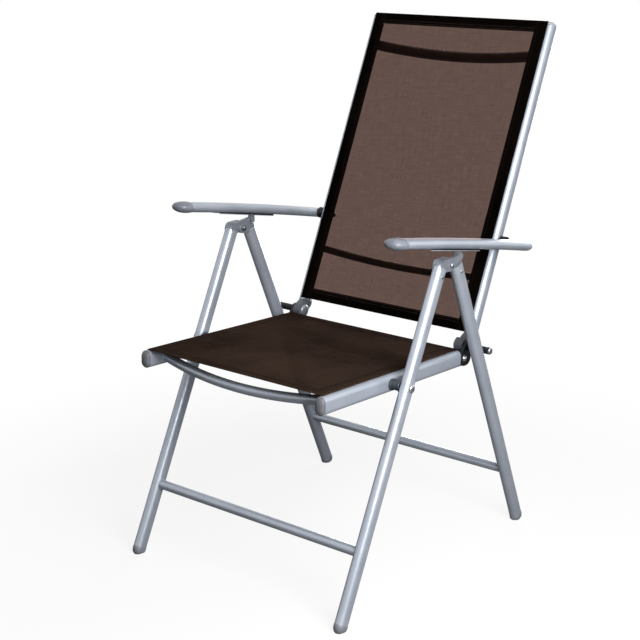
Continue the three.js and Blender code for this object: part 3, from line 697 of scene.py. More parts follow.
frame_paint = coated_metal("silver_frame_coat", (0.37, 0.408, 0.472), (0.43, 0.468, 0.532), 0.36, 0.45)
casting_paint = coated_metal("hinge_casting_coat", (0.21, 0.23, 0.268), (0.265, 0.287, 0.33), 0.42, 0.45, 900)
steel = plated_steel("zinc_plated_steel", (0.55, 0.56, 0.58), (0.74, 0.74, 0.75), 0.25)
dull_steel = plated_steel("dull_steel", (0.26, 0.275, 0.30), (0.36, 0.375, 0.40), 0.42)
light_plastic = moulded("grey_rail_plug", (0.122, 0.128, 0.142), (0.156, 0.163, 0.178), 0.45)
cap_plastic = moulded("armrest_cap_grey", (0.155, 0.17, 0.205), (0.195, 0.21, 0.245), 0.32)
back_cap_plastic = moulded("back_cap_grey", (0.30, 0.32, 0.36), (0.36, 0.38, 0.42), 0.4)
knuckle_plastic = moulded("knuckle_slate", (0.08, 0.087, 0.103), (0.108, 0.116, 0.135), 0.4)
black_plastic = moulded("black_moulding", (0.004, 0.004, 0.005), (0.009, 0.009, 0.011), 0.45, 1400, 0.3)
rubber = moulded("foot_rubber_grey", (0.17, 0.182, 0.208), (0.22, 0.235, 0.265), 0.5, 900)
spacer_plastic = moulded("spacer_slate", (0.022, 0.03, 0.04), (0.034, 0.044, 0.056), 0.45)
MESH_TINT = (1.0, 0.80, 0.735)
back_mesh = woven("brown_back_mesh", (0.004, 0.0026, 0.0021), (0.007, 0.0044, 0.0036), 0.348, MESH_TINT)
# Painted light: the seat's cloth and hem are the same yarn as the back's, but their base colours are several
# times lighter. This lift stands in for the light that the back's open mesh lets through, since the seat's
# own mesh lets little through, and the hem is lifted to match the cloth.
seat_mesh = woven("brown_seat_mesh_with_painted_light", (0.022, 0.0138, 0.0102), (0.052, 0.0325, 0.024), 0.07, MESH_TINT)
seat_hem = woven("seat_hem_with_painted_light", (0.0205, 0.0129, 0.0095), (0.049, 0.0306, 0.0226), 0)
back_hem = woven("black_back_hem", (0.0016, 0.0011, 0.0009), (0.004, 0.0028, 0.0022), 0)
brown_thread = moulded("brown_thread", (0.028, 0.018, 0.014), (0.045, 0.03, 0.024), 0.6, 5000, 0.05)
black_thread = moulded("black_thread", (0.003, 0.0022, 0.0018), (0.007, 0.005, 0.004), 0.6, 5000, 0.05)


# Pieces
def make(name, solid, material, body, nodes=(), uv=None, second=None):
    points, faces = solid
    data = bpy.data.meshes.new(name)
    if uv is None:
        mesh = to_bmesh(solid)
        bmesh.ops.scale(mesh, vec=(MM, MM, MM), verts=mesh.verts)
        mesh.to_mesh(data)
        mesh.free()
    else:
        data.from_pydata([Vector(p) * MM for p in points], [], faces)
        layer = data.uv_layers.new(name="flat")
        for loop in data.loops:
            layer.data[loop.index].uv = uv[loop.vertex_index]
    data.polygons.foreach_set("use_smooth", [True] * len(data.polygons))
    data.set_sharp_from_angle(angle=SMOOTH_ANGLE)
    made = add_object(name, data)
    data.materials.append(material)
    if second:
        other, inner_x, outer_x = second
        data.materials.append(other)
        for polygon in data.polygons:
            polygon.material_index = int(inner_x < abs(polygon.center.x) / MM < outer_x)
    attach(made, body)
    if nodes:
        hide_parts(*nodes)
    return made


def both_sides(solid):
    return ("left", solid), ("right", mirrored(solid))


def pair(node, solid, material, body, second=None):
    """A left-hand piece and its mirror image; a body written with {} is the side's own.
    second is another finish for the part between two distances from the middle plane."""
    for which, form in both_sides(solid):
        name = f"{which}_{node}"
        make(f"{name}_finished", form, material, body.format(which), [name], second=second)


def single(node, solid, material, body):
    make(f"{node}_finished", solid, material, body, [node])


# Legs with their feet
def leg(foot, up, top):
    return tube(LEG_WIDTH, LEG_DEPTH, LEG_X, foot, up, FOOT_SOLE, top)


def foot_plug(foot, up):
    down = -up
    end = foot + up * FOOT_SOLE
    profile = plug_profile(FOOT_NECK, FOOT_SWELL, FOOT_RIM, FOOT_DOME)
    return floored(loft(flat_oval(LEG_WIDTH, LEG_DEPTH), profile, LEG_X, end, down))


def rivet(centre):
    face = leg_outer_x
    radius = RIVET_HEAD_RADIUS
    edge = [(radius - CHAMFER, face - RIVET_SINK), (radius, face + RIVET_RIM / 2)]
    return turned(centre, edge + dome(radius, face + RIVET_RIM, RIVET_DOME))


def crossbar(foot, up):
    """A round bar whose ends are shaped to the flat-sided legs."""
    middle = foot + up * (CROSSBAR_HEIGHT / up.y)
    radius = CROSSBAR_DIAMETER / 2
    rear = rear_of(up)
    ends = []
    for sign in (-1, 1):
        ring = []
        for a, b in oval(CROSSBAR_DIAMETER, CROSSBAR_DIAMETER, ROUND_STEPS):
            offset = a * rear.x + b * rear.y
            reach = LEG_X - oval_half_width(LEG_WIDTH, LEG_DEPTH, offset) + FIT
            ring.append(Vector((sign * reach, middle.x + a, middle.y + b)))
        ends.append(ring)
    inner = [[Vector((x, p.y, p.z)) for p in ends[0]] for x in (-LEG_X + 2 * radius, LEG_X - 2 * radius)]
    return skin([ends[0], *inner, ends[1]])


for end, foot, up, top, rivet_below in (
        ("front", front_foot, front_up, FRONT_TUBE_TOP, RIVET_BELOW_FRONT),
        ("rear", rear_foot, rear_up, REAR_TUBE_TOP, RIVET_BELOW_REAR)):
    body = f"{end}_legs"
    pair(f"{end}_leg", leg(foot, up, top), frame_paint, body)
    pair(f"{end}_foot", foot_plug(foot, up), rubber, body)
    pair(f"{end}_rivet", rivet(foot + up * (top - rivet_below)), dull_steel, body)
    single(f"{end}_crossbar", crossbar(foot, up), frame_paint, body)


# Hinge heads and their bolts
head_inner_x = leg_inner_x + HEAD_INSET
head_outer_x = leg_outer_x - HEAD_INSET
neck_root = Vector((latch.x, hinge.y + NECK_RISE))
neck_root_radius = NECK_WIDTH * NECK_FLARE
neck_top = Vector((latch.x, latch.y - LATCH_PIN_RADIUS * NECK_BELOW_PIN))


def head_collar(origin, up):
    return bar(LEG_WIDTH, LEG_DEPTH, LEG_X, origin, up, FIT, FIT + HEAD_COLLAR)


def leg_space(origin, up):
    """The room that a leg's tube takes up, to be cut from its head."""
    return bar(LEG_WIDTH + 2 * FIT, LEG_DEPTH + 2 * FIT, LEG_X, origin, up, -CUT_REACH, FIT)


def front_head():
    """The crown on the leg, a roof over the rear head's ear, the outer ear and the neck for the latch pin."""
    shoulder = front_top + front_up * SHOULDER_RISE
    ear_inner = LEG_X + FIT
    ear_room = EAR_RADIUS + 2 * FIT
    crown = strap(front_top + front_up * CROWN_INSET, EAR_RADIUS - CROWN_INSET, shoulder, EAR_RADIUS,
                  head_inner_x, head_outer_x)
    roof = strap(shoulder, EAR_RADIUS - 2 * STEP, hinge + Vector((0, ROOF_RISE)), ROOF_RADIUS,
                 head_inner_x + 2 * STEP, head_outer_x - 4 * STEP)
    rear_ear = cylinder(hinge, ear_room, head_inner_x - CUT_MARGIN, ear_inner)
    bridge = strap(shoulder, EAR_RADIUS, hinge, EAR_RADIUS, ear_inner, head_outer_x - STEP)
    swept = strap(hinge, EAR_RADIUS - STEP, neck_root, neck_root_radius,
                  ear_inner + STEP, LEG_X + SWEEP_REACH)
    neck = strap(neck_root, neck_root_radius - STEP, neck_top, NECK_WIDTH / 2,
                 LEG_X - NECK_THICKNESS / 2, LEG_X + NECK_THICKNESS / 2)
    whole = union(cut(union(crown, roof), rear_ear), bridge, swept, neck)
    whole = union(cut(whole, leg_space(front_top, front_up)), head_collar(front_top, front_up))
    saddle = cylinder(latch, LATCH_PIN_RADIUS + FIT, LEG_X - NECK_THICKNESS, LEG_X + NECK_THICKNESS)
    return softened(cut(whole, saddle), FRONT_HEAD_ROUNDING)


def rear_head():
    whole = strap(hinge, EAR_RADIUS, rear_top, EAR_RADIUS * REAR_EAR_TAPER, head_inner_x, LEG_X - FIT)
    ear = cut(whole, leg_space(rear_top, rear_up))
    return softened(union(ear, head_collar(rear_top, rear_up)), REAR_HEAD_ROUNDING)


def nutted(centre, nut_end, thread_end, rest):
    """A bolt across the chair with a six-sided nut on its inner end; rest is the profile past its thread."""
    nut_x = nut_end - NUT_HEIGHT
    tip_x = nut_x - thread_end
    nut = cylinder(centre, NUT_RADIUS, nut_x, nut_end, NUT_SIDES)
    thread = [(BOLT_RADIUS - CHAMFER, tip_x), (BOLT_RADIUS, tip_x + CHAMFER)]
    return together(softened(nut, NUT_ROUNDING), turned(centre, thread + rest))


def bolt(centre, inner_x, outer_x, head_radius):
    """A bolt with a domed head outside."""
    head_x = outer_x + FIT
    rest = [(BOLT_RADIUS, head_x), (head_radius - HEAD_EDGE_INSET, head_x),
            (head_radius, head_x + HEAD_EDGE_RISE)]
    rest += dome(head_radius, head_x + HEAD_RIM, BOLT_HEAD_HEIGHT - HEAD_RIM)
    return nutted(centre, inner_x - FIT, THREAD_END, rest)


def latch_pin():
    half = LATCH_PIN_LENGTH / 2
    radius = LATCH_PIN_RADIUS
    tip = [(0, half), (radius - PIN_CHAMFER, half), (radius, half - PIN_CHAMFER)]
    return turned(latch, [(r, LEG_X - x) for r, x in tip] + [(r, LEG_X + x) for r, x in reversed(tip)])


pair("front_head", front_head(), casting_paint, "front_legs")
pair("rear_head", rear_head(), casting_paint, "rear_legs")
pair("hinge_bolt", bolt(hinge, head_inner_x, head_outer_x, HINGE_BOLT_HEAD_RADIUS), dull_steel,
     "front_legs")
pair("latch_pin", latch_pin(), steel, "front_legs")


# Seat frame
def rail_plug(depth, origin, direction):
    base = FIT + PLUG_FLANGE
    profile = plug_profile(RAIL_PLUG_NECK, RAIL_PLUG_RIM, base, PLUG_DOME, RAIL_PLUG_STEPS)
    return loft(flat_oval(RAIL_WIDTH, depth), profile, RAIL_X, origin, direction)


def spacer():
    inner = rail_outer_x + FIT
    outer = leg_inner_x - FIT
    radius = SPACER_RADIUS
    half = [(BOLT_RADIUS + FIT, 0), (radius - CHAMFER, 0), (radius, CHAMFER), (radius, SPACER_RIM),
            (SPACER_WAIST_RADIUS, SPACER_WAIST_START)]
    profile = [(r, inner + d) for r, d in half] + [(r, outer - d) for r, d in reversed(half)]
    return turned(seat_pivot, profile)


def bow(end, sag, side_tube, diameter):
    """A bent round tube; sag is its middle's offset.
    Its ends are shaped to the side tubes, given as a place on the axis, the deep way and the depth."""
    tube_axis, deep, depth = side_tube
    rings = []
    for i in range(BOW_STEPS + 1):
        t = 2 * i / BOW_STEPS - 1
        drop = sag * (1 - t * t)
        slope = sag * (-2 * t) / RAIL_X
        heading = Vector((1, slope.x, slope.y)).normalized()
        centre = Vector((t * RAIL_X, end.x + drop.x, end.y + drop.y))
        normal = Vector((0, sag.x, sag.y)).normalized()
        normal = (normal - heading * normal.dot(heading)).normalized()
        other = heading.cross(normal)
        ring = []
        for a, b in oval(diameter, diameter, BOW_SIDES):
            point = centre + normal * a + other * b
            offset = (Vector((point.y, point.z)) - tube_axis).dot(deep)
            reach = RAIL_X - oval_half_width(RAIL_WIDTH, depth, offset) + FIT
            if abs(point.x) > reach:
                point += heading * ((math.copysign(reach, point.x) - point.x) / heading.x)
            ring.append(point)
        rings.append(ring)
    kept = [ring for ring in rings if max(abs(p.x) for p in ring) < rail_inner_x + FIT]
    first = rings.index(kept[0])
    return skin([rings[first - 1], *kept, rings[first + len(kept)]])


def seat_bow(distance, forward):
    place = seat_pivot + seat_back * distance
    bend = seat_up * -BOW_SAG - seat_back * forward
    return bow(place, bend, (place, seat_up, RAIL_DEPTH), BOW_DIAMETER)


def rail_end_block():
    """A block on the rail's end, with an eye for the back pin and room for the knuckle to swing."""
    start = rail_end + seat_back * (RAIL_END_RADIUS - RAIL_END_INSET)
    stop = end_centre + seat_back * RAIL_END_TAIL
    block = strap(start, RAIL_END_RADIUS, stop, RAIL_END_RADIUS, rail_inner_x + FIT, rail_outer_x - FIT)
    collar = bar(RAIL_WIDTH, RAIL_DEPTH, RAIL_X, rail_end, seat_back, -RAIL_END_INSET, RAIL_END_REACH)
    eye = strap(end_centre, RAIL_END_RADIUS - RAIL_END_INSET, back_pivot, HINGE_EYE_RADIUS,
                KNUCKLE_OUTER_X + FIT, rail_outer_x - 2 * FIT)
    clear = []
    for turn in (0, BACK_RECLINE / 2, BACK_RECLINE):
        up = leaning(BACK_LEAN + turn)
        root = back_pivot + up * (BACK_TUBE_START - KNUCKLE_ROOT) + rear_of(up) * BACK_AXIS_BEHIND
        inner_x = KNUCKLE_INNER_X - CUT_MARGIN - turn * SWING_INNER_STEP
        outer_x = KNUCKLE_OUTER_X + 2 * FIT - turn * SWING_OUTER_STEP
        clear.append(strap(back_pivot, KNUCKLE_RADIUS + 2 * FIT, root, KNUCKLE_ROOT_RADIUS + 2 * FIT,
                           inner_x, outer_x))
    inside_rail = bar(RAIL_WIDTH + 2 * CUT_MARGIN, RAIL_DEPTH + 2 * CUT_MARGIN, RAIL_X, rail_end, seat_back,
                      -CUT_REACH, FIT)
    body = cut(union(block, collar), *clear)
    return softened(cut(union(body, eye), inside_rail), RAIL_END_ROUNDING)


def rail_bolt():
    face = rail_outer_x
    radius = RAIL_BOLT_HEAD_RADIUS
    reach = radius + WASHER_REACH
    profile = [(reach - WASHER_EDGE, face - CHAMFER), (reach, face), (reach - WASHER_EDGE, face + CHAMFER),
               (radius, face + RAIL_BOLT_HEAD_START)]
    return turned(end_centre, profile + dome(radius, face + RAIL_BOLT_RIM, RAIL_BOLT_DOME))


seat_rail = tube(RAIL_WIDTH, RAIL_DEPTH, RAIL_X, seat_pivot, seat_back, -RAIL_FRONT, RAIL_REAR)
pair("seat_rail", seat_rail, frame_paint, "seat")
pair("rail_plug", rail_plug(RAIL_DEPTH, rail_front, -seat_back), light_plastic, "seat")
pair("rail_end", rail_end_block(), black_plastic, "seat")
pair("rail_bolt", rail_bolt(), steel, "seat")
pair("spacer", spacer(), spacer_plastic, "seat")
pair("seat_bolt", bolt(seat_pivot, rail_inner_x, leg_outer_x, BOLT_HEAD_RADIUS), steel, "front_legs")
single("seat_front_bow", seat_bow(-SEAT_BOW_FRONT, FRONT_BOW_FORWARD), frame_paint, "seat")
single("seat_rear_bow", seat_bow(SEAT_BOW_REAR, 0), frame_paint, "seat")


# Back frame and its hinge
def back_pin():
    head_x = KNUCKLE_INNER_X - FIT
    stop_x = rail_outer_x + FIT
    tip_x = leg_outer_x + STOP_PIN_REACH
    radius = STOP_PIN_RADIUS
    head_radius = BACK_PIN_HEAD_RADIUS
    head = [(r, head_x - d) for r, d in reversed(dome(head_radius, HEAD_RIM, BACK_PIN_HEAD_DOME))]
    head += [(head_radius, head_x - HEAD_EDGE_RISE), (head_radius - HEAD_EDGE_RISE, head_x)]
    stub = [(BOLT_RADIUS, head_x), (BOLT_RADIUS, stop_x), (radius - STOP_PIN_EDGE, stop_x),
            (radius, stop_x + STOP_PIN_EDGE), (radius, tip_x - STOP_PIN_TIP)]
    return turned(back_pivot, head + stub + dome(radius, tip_x - STOP_PIN_DOME, STOP_PIN_DOME))


def knuckle():
    tube_start = back_line + back_up * BACK_TUBE_START
    root = tube_start - back_up * KNUCKLE_ROOT
    drum = cylinder(back_pivot, KNUCKLE_RADIUS, KNUCKLE_INNER_X, KNUCKLE_OUTER_X)
    web = strap(back_pivot, KNUCKLE_RADIUS - 2 * STEP, root, KNUCKLE_ROOT_RADIUS,
                rail_inner_x + FIT, KNUCKLE_OUTER_X - 2 * STEP)
    above = bar(RAIL_WIDTH + 2 * CUT_MARGIN, BACK_DEPTH + 2 * CUT_MARGIN, RAIL_X, tube_start, back_up,
                -FIT, CUT_REACH)
    collar = bar(RAIL_WIDTH, BACK_DEPTH, RAIL_X, tube_start, back_up, -KNUCKLE_COLLAR, -FIT)
    return softened(union(cut(union(drum, web), above), collar), KNUCKLE_ROUNDING, segments=3)


def back_bow(distance, diameter, droop):
    end = back_pivot + back_up * distance + back_rear * BACK_BOW_BEHIND
    bend = back_rear * BOW_SAG - back_up * droop
    return bow(end, bend, (back_line + back_up * distance, back_rear, BACK_DEPTH), diameter)


back_tube = tube(RAIL_WIDTH, BACK_DEPTH, RAIL_X, back_line, back_up, BACK_TUBE_START, BACK_TUBE_TOP)
back_cap = rail_plug(BACK_DEPTH, back_line + back_up * BACK_TUBE_TOP, back_up)
lower_bow = back_bow(BACK_BOW_LOW, LOWER_BOW_DIAMETER, LOWER_BOW_DROOP)
top_bow = back_bow(BACK_BOW_HIGH, TOP_BOW_DIAMETER, TOP_BOW_DROOP)
pair("back_pin", back_pin(), dull_steel, "back_pivot",
     (black_plastic, rail_outer_x, leg_outer_x + STOP_PIN_REACH - STOP_PIN_TIP))
pair("knuckle", knuckle(), knuckle_plastic, "back")
pair("back_tube", back_tube, frame_paint, "back")
pair("back_cap", back_cap, back_cap_plastic, "back")
single("back_lower_bow", lower_bow, frame_paint, "back")
single("back_top_bow", top_bow, frame_paint, "back")


# Armrests: u runs along the arm and v above its axis, from the arm pivot
def on_arm(u, v):
    return arm_pivot + arm_front * u + arm_up * v


def arm_drop(u):
    return -ARM_ARCH * ((u - arm_crown) / arm_half) ** 2


def arm_heading(u):
    slope = -2 * ARM_ARCH * (u - arm_crown) / arm_half ** 2
    return (arm_front + arm_up * slope).normalized()


def arm_ring(u, inset):
    outline = oval(ARM_WIDTH - 2 * inset, ARM_HEIGHT - 2 * inset)
    return placed(ARM_X, on_arm(u, arm_drop(u)), arm_heading(u), outline, 0)


def arm_plate(outline, width):
    """An outline in (u, v) given thickness across the chair, centred on the arm."""
    rings = []
    for x in (ARM_X - width / 2, ARM_X + width / 2):
        places = [on_arm(u, v) for u, v in outline]
        rings.append([Vector((x, p.x, p.y)) for p in places])
    return skin(rings)


def arm_tube():
    stations = [-ARM_REAR + (ARM_FRONT + ARM_REAR) * i / ARM_STEPS for i in range(ARM_STEPS + 1)]
    edge = TUBE_EDGE
    outer = [arm_ring(stations[0], edge)]
    outer += [arm_ring(u, 0) for u in (stations[0] + edge, *stations[1:-1], stations[-1] - edge)]
    outer += [arm_ring(stations[-1], edge), arm_ring(stations[-1], TUBE_WALL)]
    inner = [arm_ring(u, TUBE_WALL) for u in reversed(stations[:-1])]
    slot = [(slot_rear, -ARM_HEIGHT), (slot_front, -ARM_HEIGHT), (slot_front, 0), (slot_rear, 0)]
    return cut(skin(outer + inner, closed=True), arm_plate(slot, SLOT_WIDTH))


def arm_front_cap():
    """A rounded nose with a short sleeve over the tube's end."""
    swell = ARM_CAP_SWELL
    sleeve = ARM_CAP_SLEEVE
    profile = [(1.0, ARM_CAP_INSIDE - sleeve), (1.0, -sleeve)]
    profile += [(swell * share, distance - sleeve) for share, distance in ARM_CAP_LIP]
    for i in range(1, CAP_SLEEVE_STEPS + 1):
        t = i / CAP_SLEEVE_STEPS
        share = ARM_CAP_MOUTH + (1 - ARM_CAP_MOUTH) * math.sin(math.pi / 2 * t)
        profile.append((swell * share, sleeve * (t - 1)))
    for i in range(1, CAP_NOSE_STEPS):
        t = math.pi / 2 * i / CAP_NOSE_STEPS
        profile.append((swell * math.cos(t) ** ARM_CAP_BLUNTNESS, ARM_CAP_NOSE * math.sin(t)))
    profile.append((LOFT_TIP, ARM_CAP_NOSE))
    heading = arm_heading(ARM_FRONT)
    mouth = on_arm(ARM_FRONT, arm_drop(ARM_FRONT)) + heading * FIT
    return loft(oval(ARM_WIDTH + 2 * FIT, ARM_HEIGHT + 2 * FIT), profile, ARM_X, mouth, heading)


def arm_rear_cap():
    tail = -arm_heading(-ARM_REAR)
    profile = plug_profile(ARM_PLUG_NECK, 1, FIT + PLUG_FLANGE, ARM_END_DOME, ARM_PLUG_STEPS)
    return loft(oval(ARM_WIDTH, ARM_HEIGHT), profile, ARM_X, on_arm(-ARM_REAR, arm_drop(-ARM_REAR)), tail)


def tip_height(u):
    at_pin = ((LATCH_REACH - rack_middle) / rack_half) ** 2
    lowest = -LATCH_DROP + LATCH_PIN_RADIUS + PIN_PLAY
    return lowest + RACK_BOW * (((u - rack_middle) / rack_half) ** 2 - at_pin)


liner_low = min(arm_drop(slot_rear), arm_drop(slot_front)) - ARM_HEIGHT / 2 - LINER_DROP


def slot_strips(stations, low, high_at):
    """A strip along each edge of the slot, from one level up to a height that may follow the arm."""
    half = LINER_WIDTH / 2
    strips = []
    for sign in (-1, 1):
        middle = ARM_X + sign * SLOT_WIDTH / 2
        rings = []
        for u in stations:
            high = high_at(u)
            corners = [(-half, low), (half, low), (half, high), (-half, high)]
            rings.append([Vector((middle + x, *on_arm(u, v))) for x, v in corners])
        strips.append(softened(skin(rings), STRIP_ROUNDING))
    return together(*strips)


def slot_liner():
    """The rack's lip round the slot, just below the tube."""
    stations = (slot_rear, (slot_rear + slot_front) / 2, slot_front)
    return slot_strips(stations, liner_low, lambda u: arm_drop(u) - ARM_HEIGHT / 2 + LINER_BITE)


def slot_lip():
    """A straight bright strip below the liner."""
    return slot_strips((slot_rear, slot_front), liner_low - LIP_HEIGHT, lambda u: liner_low)


def rack():
    bore_half_width = ARM_WIDTH / 2 - TUBE_WALL
    bore_half_height = ARM_HEIGHT / 2 - TUBE_WALL
    chord = math.sqrt(1 - (RACK_WIDTH / 2 / bore_half_width) ** 2)
    top = bore_half_height * chord - FIT + arm_drop(rack_front)
    outline = [(rack_front, top), (rack_rear, top), (rack_rear, tip_height(rack_rear))]
    for i in range(NOTCH_COUNT):
        u = rack_rear + RACK_MARGIN + i * NOTCH_PITCH
        crest = tip_height(u) + NOTCH_DEPTH
        for t in (math.pi * k / NOTCH_STEPS for k in range(NOTCH_STEPS + 1)):
            edge = u - NOTCH_RADIUS * math.cos(t)
            outline.append((edge, tip_height(edge) + (crest - tip_height(edge)) * math.sin(t)))
    outline.append((rack_front, tip_height(rack_front)))
    return together(arm_plate(outline, RACK_WIDTH), slot_liner())


def arm_bolt():
    """A bolt that ends in a plain disc inside the arm."""
    nut_end = rail_inner_x - FIT
    start_x = arm_inner_x + BUSH_DEPTH + FIT
    end_x = start_x + ARM_DISC_HEIGHT
    edge = ARM_DISC_EDGE
    disc = BUSH_RADIUS - ARM_DISC_INSET
    rest = [(BOLT_RADIUS, nut_end), (BOLT_RADIUS, start_x), (disc - edge, start_x), (disc, start_x + edge),
            (disc, end_x - edge), (disc - edge, end_x)]
    return nutted(arm_pivot, nut_end, ARM_THREAD_END, rest)


def arm_bush():
    bore = BOLT_RADIUS + FIT
    inner = rail_outer_x + FIT
    outer = arm_inner_x - FIT
    flange = BUSH_FLANGE_RADIUS
    profile = [(bore, inner), (flange - CHAMFER, inner), (flange, inner + CHAMFER), (flange, outer - CHAMFER),
               (flange - CHAMFER, outer), (BUSH_RADIUS, outer), (BUSH_RADIUS, outer + BUSH_DEPTH),
               (bore, outer + BUSH_DEPTH)]
    return turned(arm_pivot, profile)


pair("arm_bolt", arm_bolt(), steel, "arm_pivot")
pair("arm_bush", arm_bush(), black_plastic, "arm_level")
pair("armrest", arm_tube(), frame_paint, "{}_arm")
pair("rack", rack(), black_plastic, "{}_arm")
for which, lip in both_sides(slot_lip()):
    make(f"{which}_slot_lip", lip, frame_paint, f"{which}_arm")
pair("arm_front_cap", arm_front_cap(), cap_plastic, "{}_arm")
pair("arm_rear_cap", arm_rear_cap(), cap_plastic, "{}_arm")


# Slings: places across (x) and along (s) the cloth, which dips a little between its tubes
@dataclass
class Sling:
    name: str
    body: str
    origin: Vector
    along: Vector
    out: Vector
    start: float
    end: float
    sag: float

    def length(self):
        return self.end - self.start

    def dip(self, x, s):
        across = max(1 - (x / SLING_HALF_WIDTH) ** 2, 0)
        lengthwise = max(math.sin(math.pi * (s - self.start) / self.length()), 0) ** SAG_FLATNESS
        pull = sum(math.sin(2 * math.pi * s / pitch + phase) * height for pitch, phase, height in RIPPLES)
        return (pull - self.sag) * across * lengthwise

    def point(self, x, s, lift=0.0):
        place = self.origin + self.along * s + self.out * (self.dip(x, s) + lift)
        return Vector((x, place.x, place.y))

    def panel(self, x0, x1, s0, s1, thickness, columns, rows, edge=0.0):
        """A closed panel of cloth. Its edges are rounded over a width of edge."""
        def profile(distance):
            if edge <= 0 or distance >= edge:
                return 1.0
            return max(math.sqrt(1 - (1 - distance / edge) ** 2), HEM_EDGE_LEAST)

        across = spread(x0, x1, columns, edge)
        down = spread(s0, s1, rows, edge)
        points = []
        uv = []
        for sign, s, x in itertools.product((1, -1), down, across):
            border = min(x - x0, x1 - x, s - s0, s1 - s)
            points.append(self.point(x, s, sign * thickness / 2 * profile(border)))
            uv.append((x * MM, s * MM))
        wide = len(across)
        sheet = wide * len(down)
        faces = []
        for r, c in itertools.product(range(len(down) - 1), range(wide - 1)):
            a = r * wide + c
            faces.append((a, a + 1, a + wide + 1, a + wide))
            faces.append((sheet + a, sheet + a + wide, sheet + a + wide + 1, sheet + a + 1))
        rim = list(range(wide)) + [r * wide + wide - 1 for r in range(1, len(down))]
        rim += [sheet - 1 - c for c in range(1, wide)] + [r * wide for r in range(len(down) - 2, 0, -1)]
        for a, b in zip(rim, rim[1:] + rim[:1]):
            faces.append((b, a, sheet + a, sheet + b))
        return (points, faces), uv


def spread(low, high, steps, edge):
    """Even places between two ends, with a few more inside each rounded edge."""
    places = [low + (high - low) * i / steps for i in range(steps + 1)]
    if edge > 0:
        for share in HEM_EDGE_SHARES:
            places += [low + edge * share, high - edge * share]
    return sorted(places)


def stitch(centre, along, up):
    """One stitch: a short thread that dips into the cloth at both ends."""
    side_way = along.cross(up)
    rings = []
    for t, size in STITCH_SECTIONS:
        rise = STITCH_RADIUS * (STITCH_RISE - STITCH_ARCH * t * t)
        middle = centre + along * (t * STITCH_LENGTH) + up * rise
        radius = STITCH_RADIUS * size
        rings.append([middle + (side_way * a + up * b) * radius for a, b in oval(2, 2, STITCH_SIDES)])
    return skin(rings)


def stitch_rows(sling, rows):
    """Rows of stitches between pairs of (x, s) places, on the face of the hems."""
    stitches = []
    for begin, finish in rows:
        start = Vector(begin)
        way = Vector(finish) - start
        count = int(way.length / STITCH_PITCH)
        for i in range(count):
            x, s = start + way * ((i + 0.5) / count)
            x2, s2 = start + way * ((i + 0.6) / count)
            lift = HEM_THICKNESS / 2 - STITCH_SINK
            centre = sling.point(x, s, lift)
            along = (sling.point(x2, s2, lift) - centre).normalized()
            up = Vector((0, sling.out.x, sling.out.y))
            up = (up - along * up.dot(along)).normalized()
            stitches.append(stitch(centre, along, up))
    return together(*stitches)


def dress(sling, node, material, hem_material, threads):
    """The cloth of a sling with its four hems and their rows of stitches."""
    half = SLING_HALF_WIDTH
    low = sling.start
    high = sling.end
    inset = CLOTH_INSET
    cloth, uv = sling.panel(-half + inset, half - inset, low + inset, high - inset, SLING_THICKNESS,
                            CLOTH_COLUMNS, CLOTH_ROWS)
    sheet = make(f"{sling.name}_cloth", cloth, material, sling.body, [node], uv)

    def hem(name, x0, x1, s0, s1, columns, rows, thickness):
        solid, flat_uv = sling.panel(x0, x1, s0, s1, thickness, columns, rows, HEM_EDGE)
        piece = make(f"{sling.name}_{name}", solid, hem_material, sling.body, (), flat_uv)

    side = half - SIDE_HEM
    hem("left_hem", side, half, low, high, SIDE_HEM_COLUMNS, CLOTH_ROWS, HEM_THICKNESS)
    hem("right_hem", -half, -side, low, high, SIDE_HEM_COLUMNS, CLOTH_ROWS, HEM_THICKNESS)
    between = side + HEM_OVERLAP
    thinner = HEM_THICKNESS - END_HEM_THINNER
    hem("upper_hem", -between, between, high - END_HEM, high, CLOTH_COLUMNS, END_HEM_ROWS, thinner)
    hem("lower_hem", -between, between, low, low + END_HEM, CLOTH_COLUMNS, END_HEM_ROWS, thinner)
    end_gap = STITCH_INSETS[0]
    side_rows = []
    for x in (side + inset for inset in STITCH_INSETS):
        side_rows.append(((x, low + end_gap), (x, high - end_gap)))
        side_rows.append(((-x, low + end_gap), (-x, high - end_gap)))
    end_lines = [low + END_HEM - inset for inset in STITCH_INSETS]
    end_lines += [high - END_HEM + inset for inset in STITCH_INSETS]
    end_rows = [((-between, s), (between, s)) for s in end_lines]
    for name, rows, thread in zip(("side_stitching", "end_stitching"), (side_rows, end_rows), threads):
        stitches = stitch_rows(sling, rows)
        make(f"{sling.name}_{name}", stitches, thread, sling.body)
    sling.length() * MM


seat_level = RAIL_DEPTH / 2 + FIT + HEM_THICKNESS / 2
seat = Sling("seat_sling", "seat", seat_pivot + seat_up * seat_level, seat_back, seat_up,
             SEAT_SLING_FRONT, SEAT_SLING_REAR, SEAT_SAG)
back_face = back_line - back_rear * (BACK_DEPTH / 2 + FIT + HEM_THICKNESS / 2)
back = Sling("back_sling", "back", back_face, back_up, -back_rear, BACK_SLING_LOW, BACK_SLING_HIGH, BACK_SAG)
dress(seat, "seat_sling", seat_mesh, seat_hem, (black_thread, black_thread))
dress(back, "back_sling", back_mesh, back_hem, (black_thread, brown_thread))


# Stage: pale floor, soft lamps, white surroundings and the camera
EYE = (1.6613, -2.2132, 1.2871)
TARGET = (0.0335, -0.1584, 0.5140)
LENS = 76.41
SENSOR_WIDTH = 36
AMBIENT = 0.12
FLOOR_REACH = 30.0
FLOOR_FADE = (0.5, 1.3)
FLOOR_WHITE = 0.85
FLOOR_TONE = 0.9
FLOOR_BOUNCE = 0.2


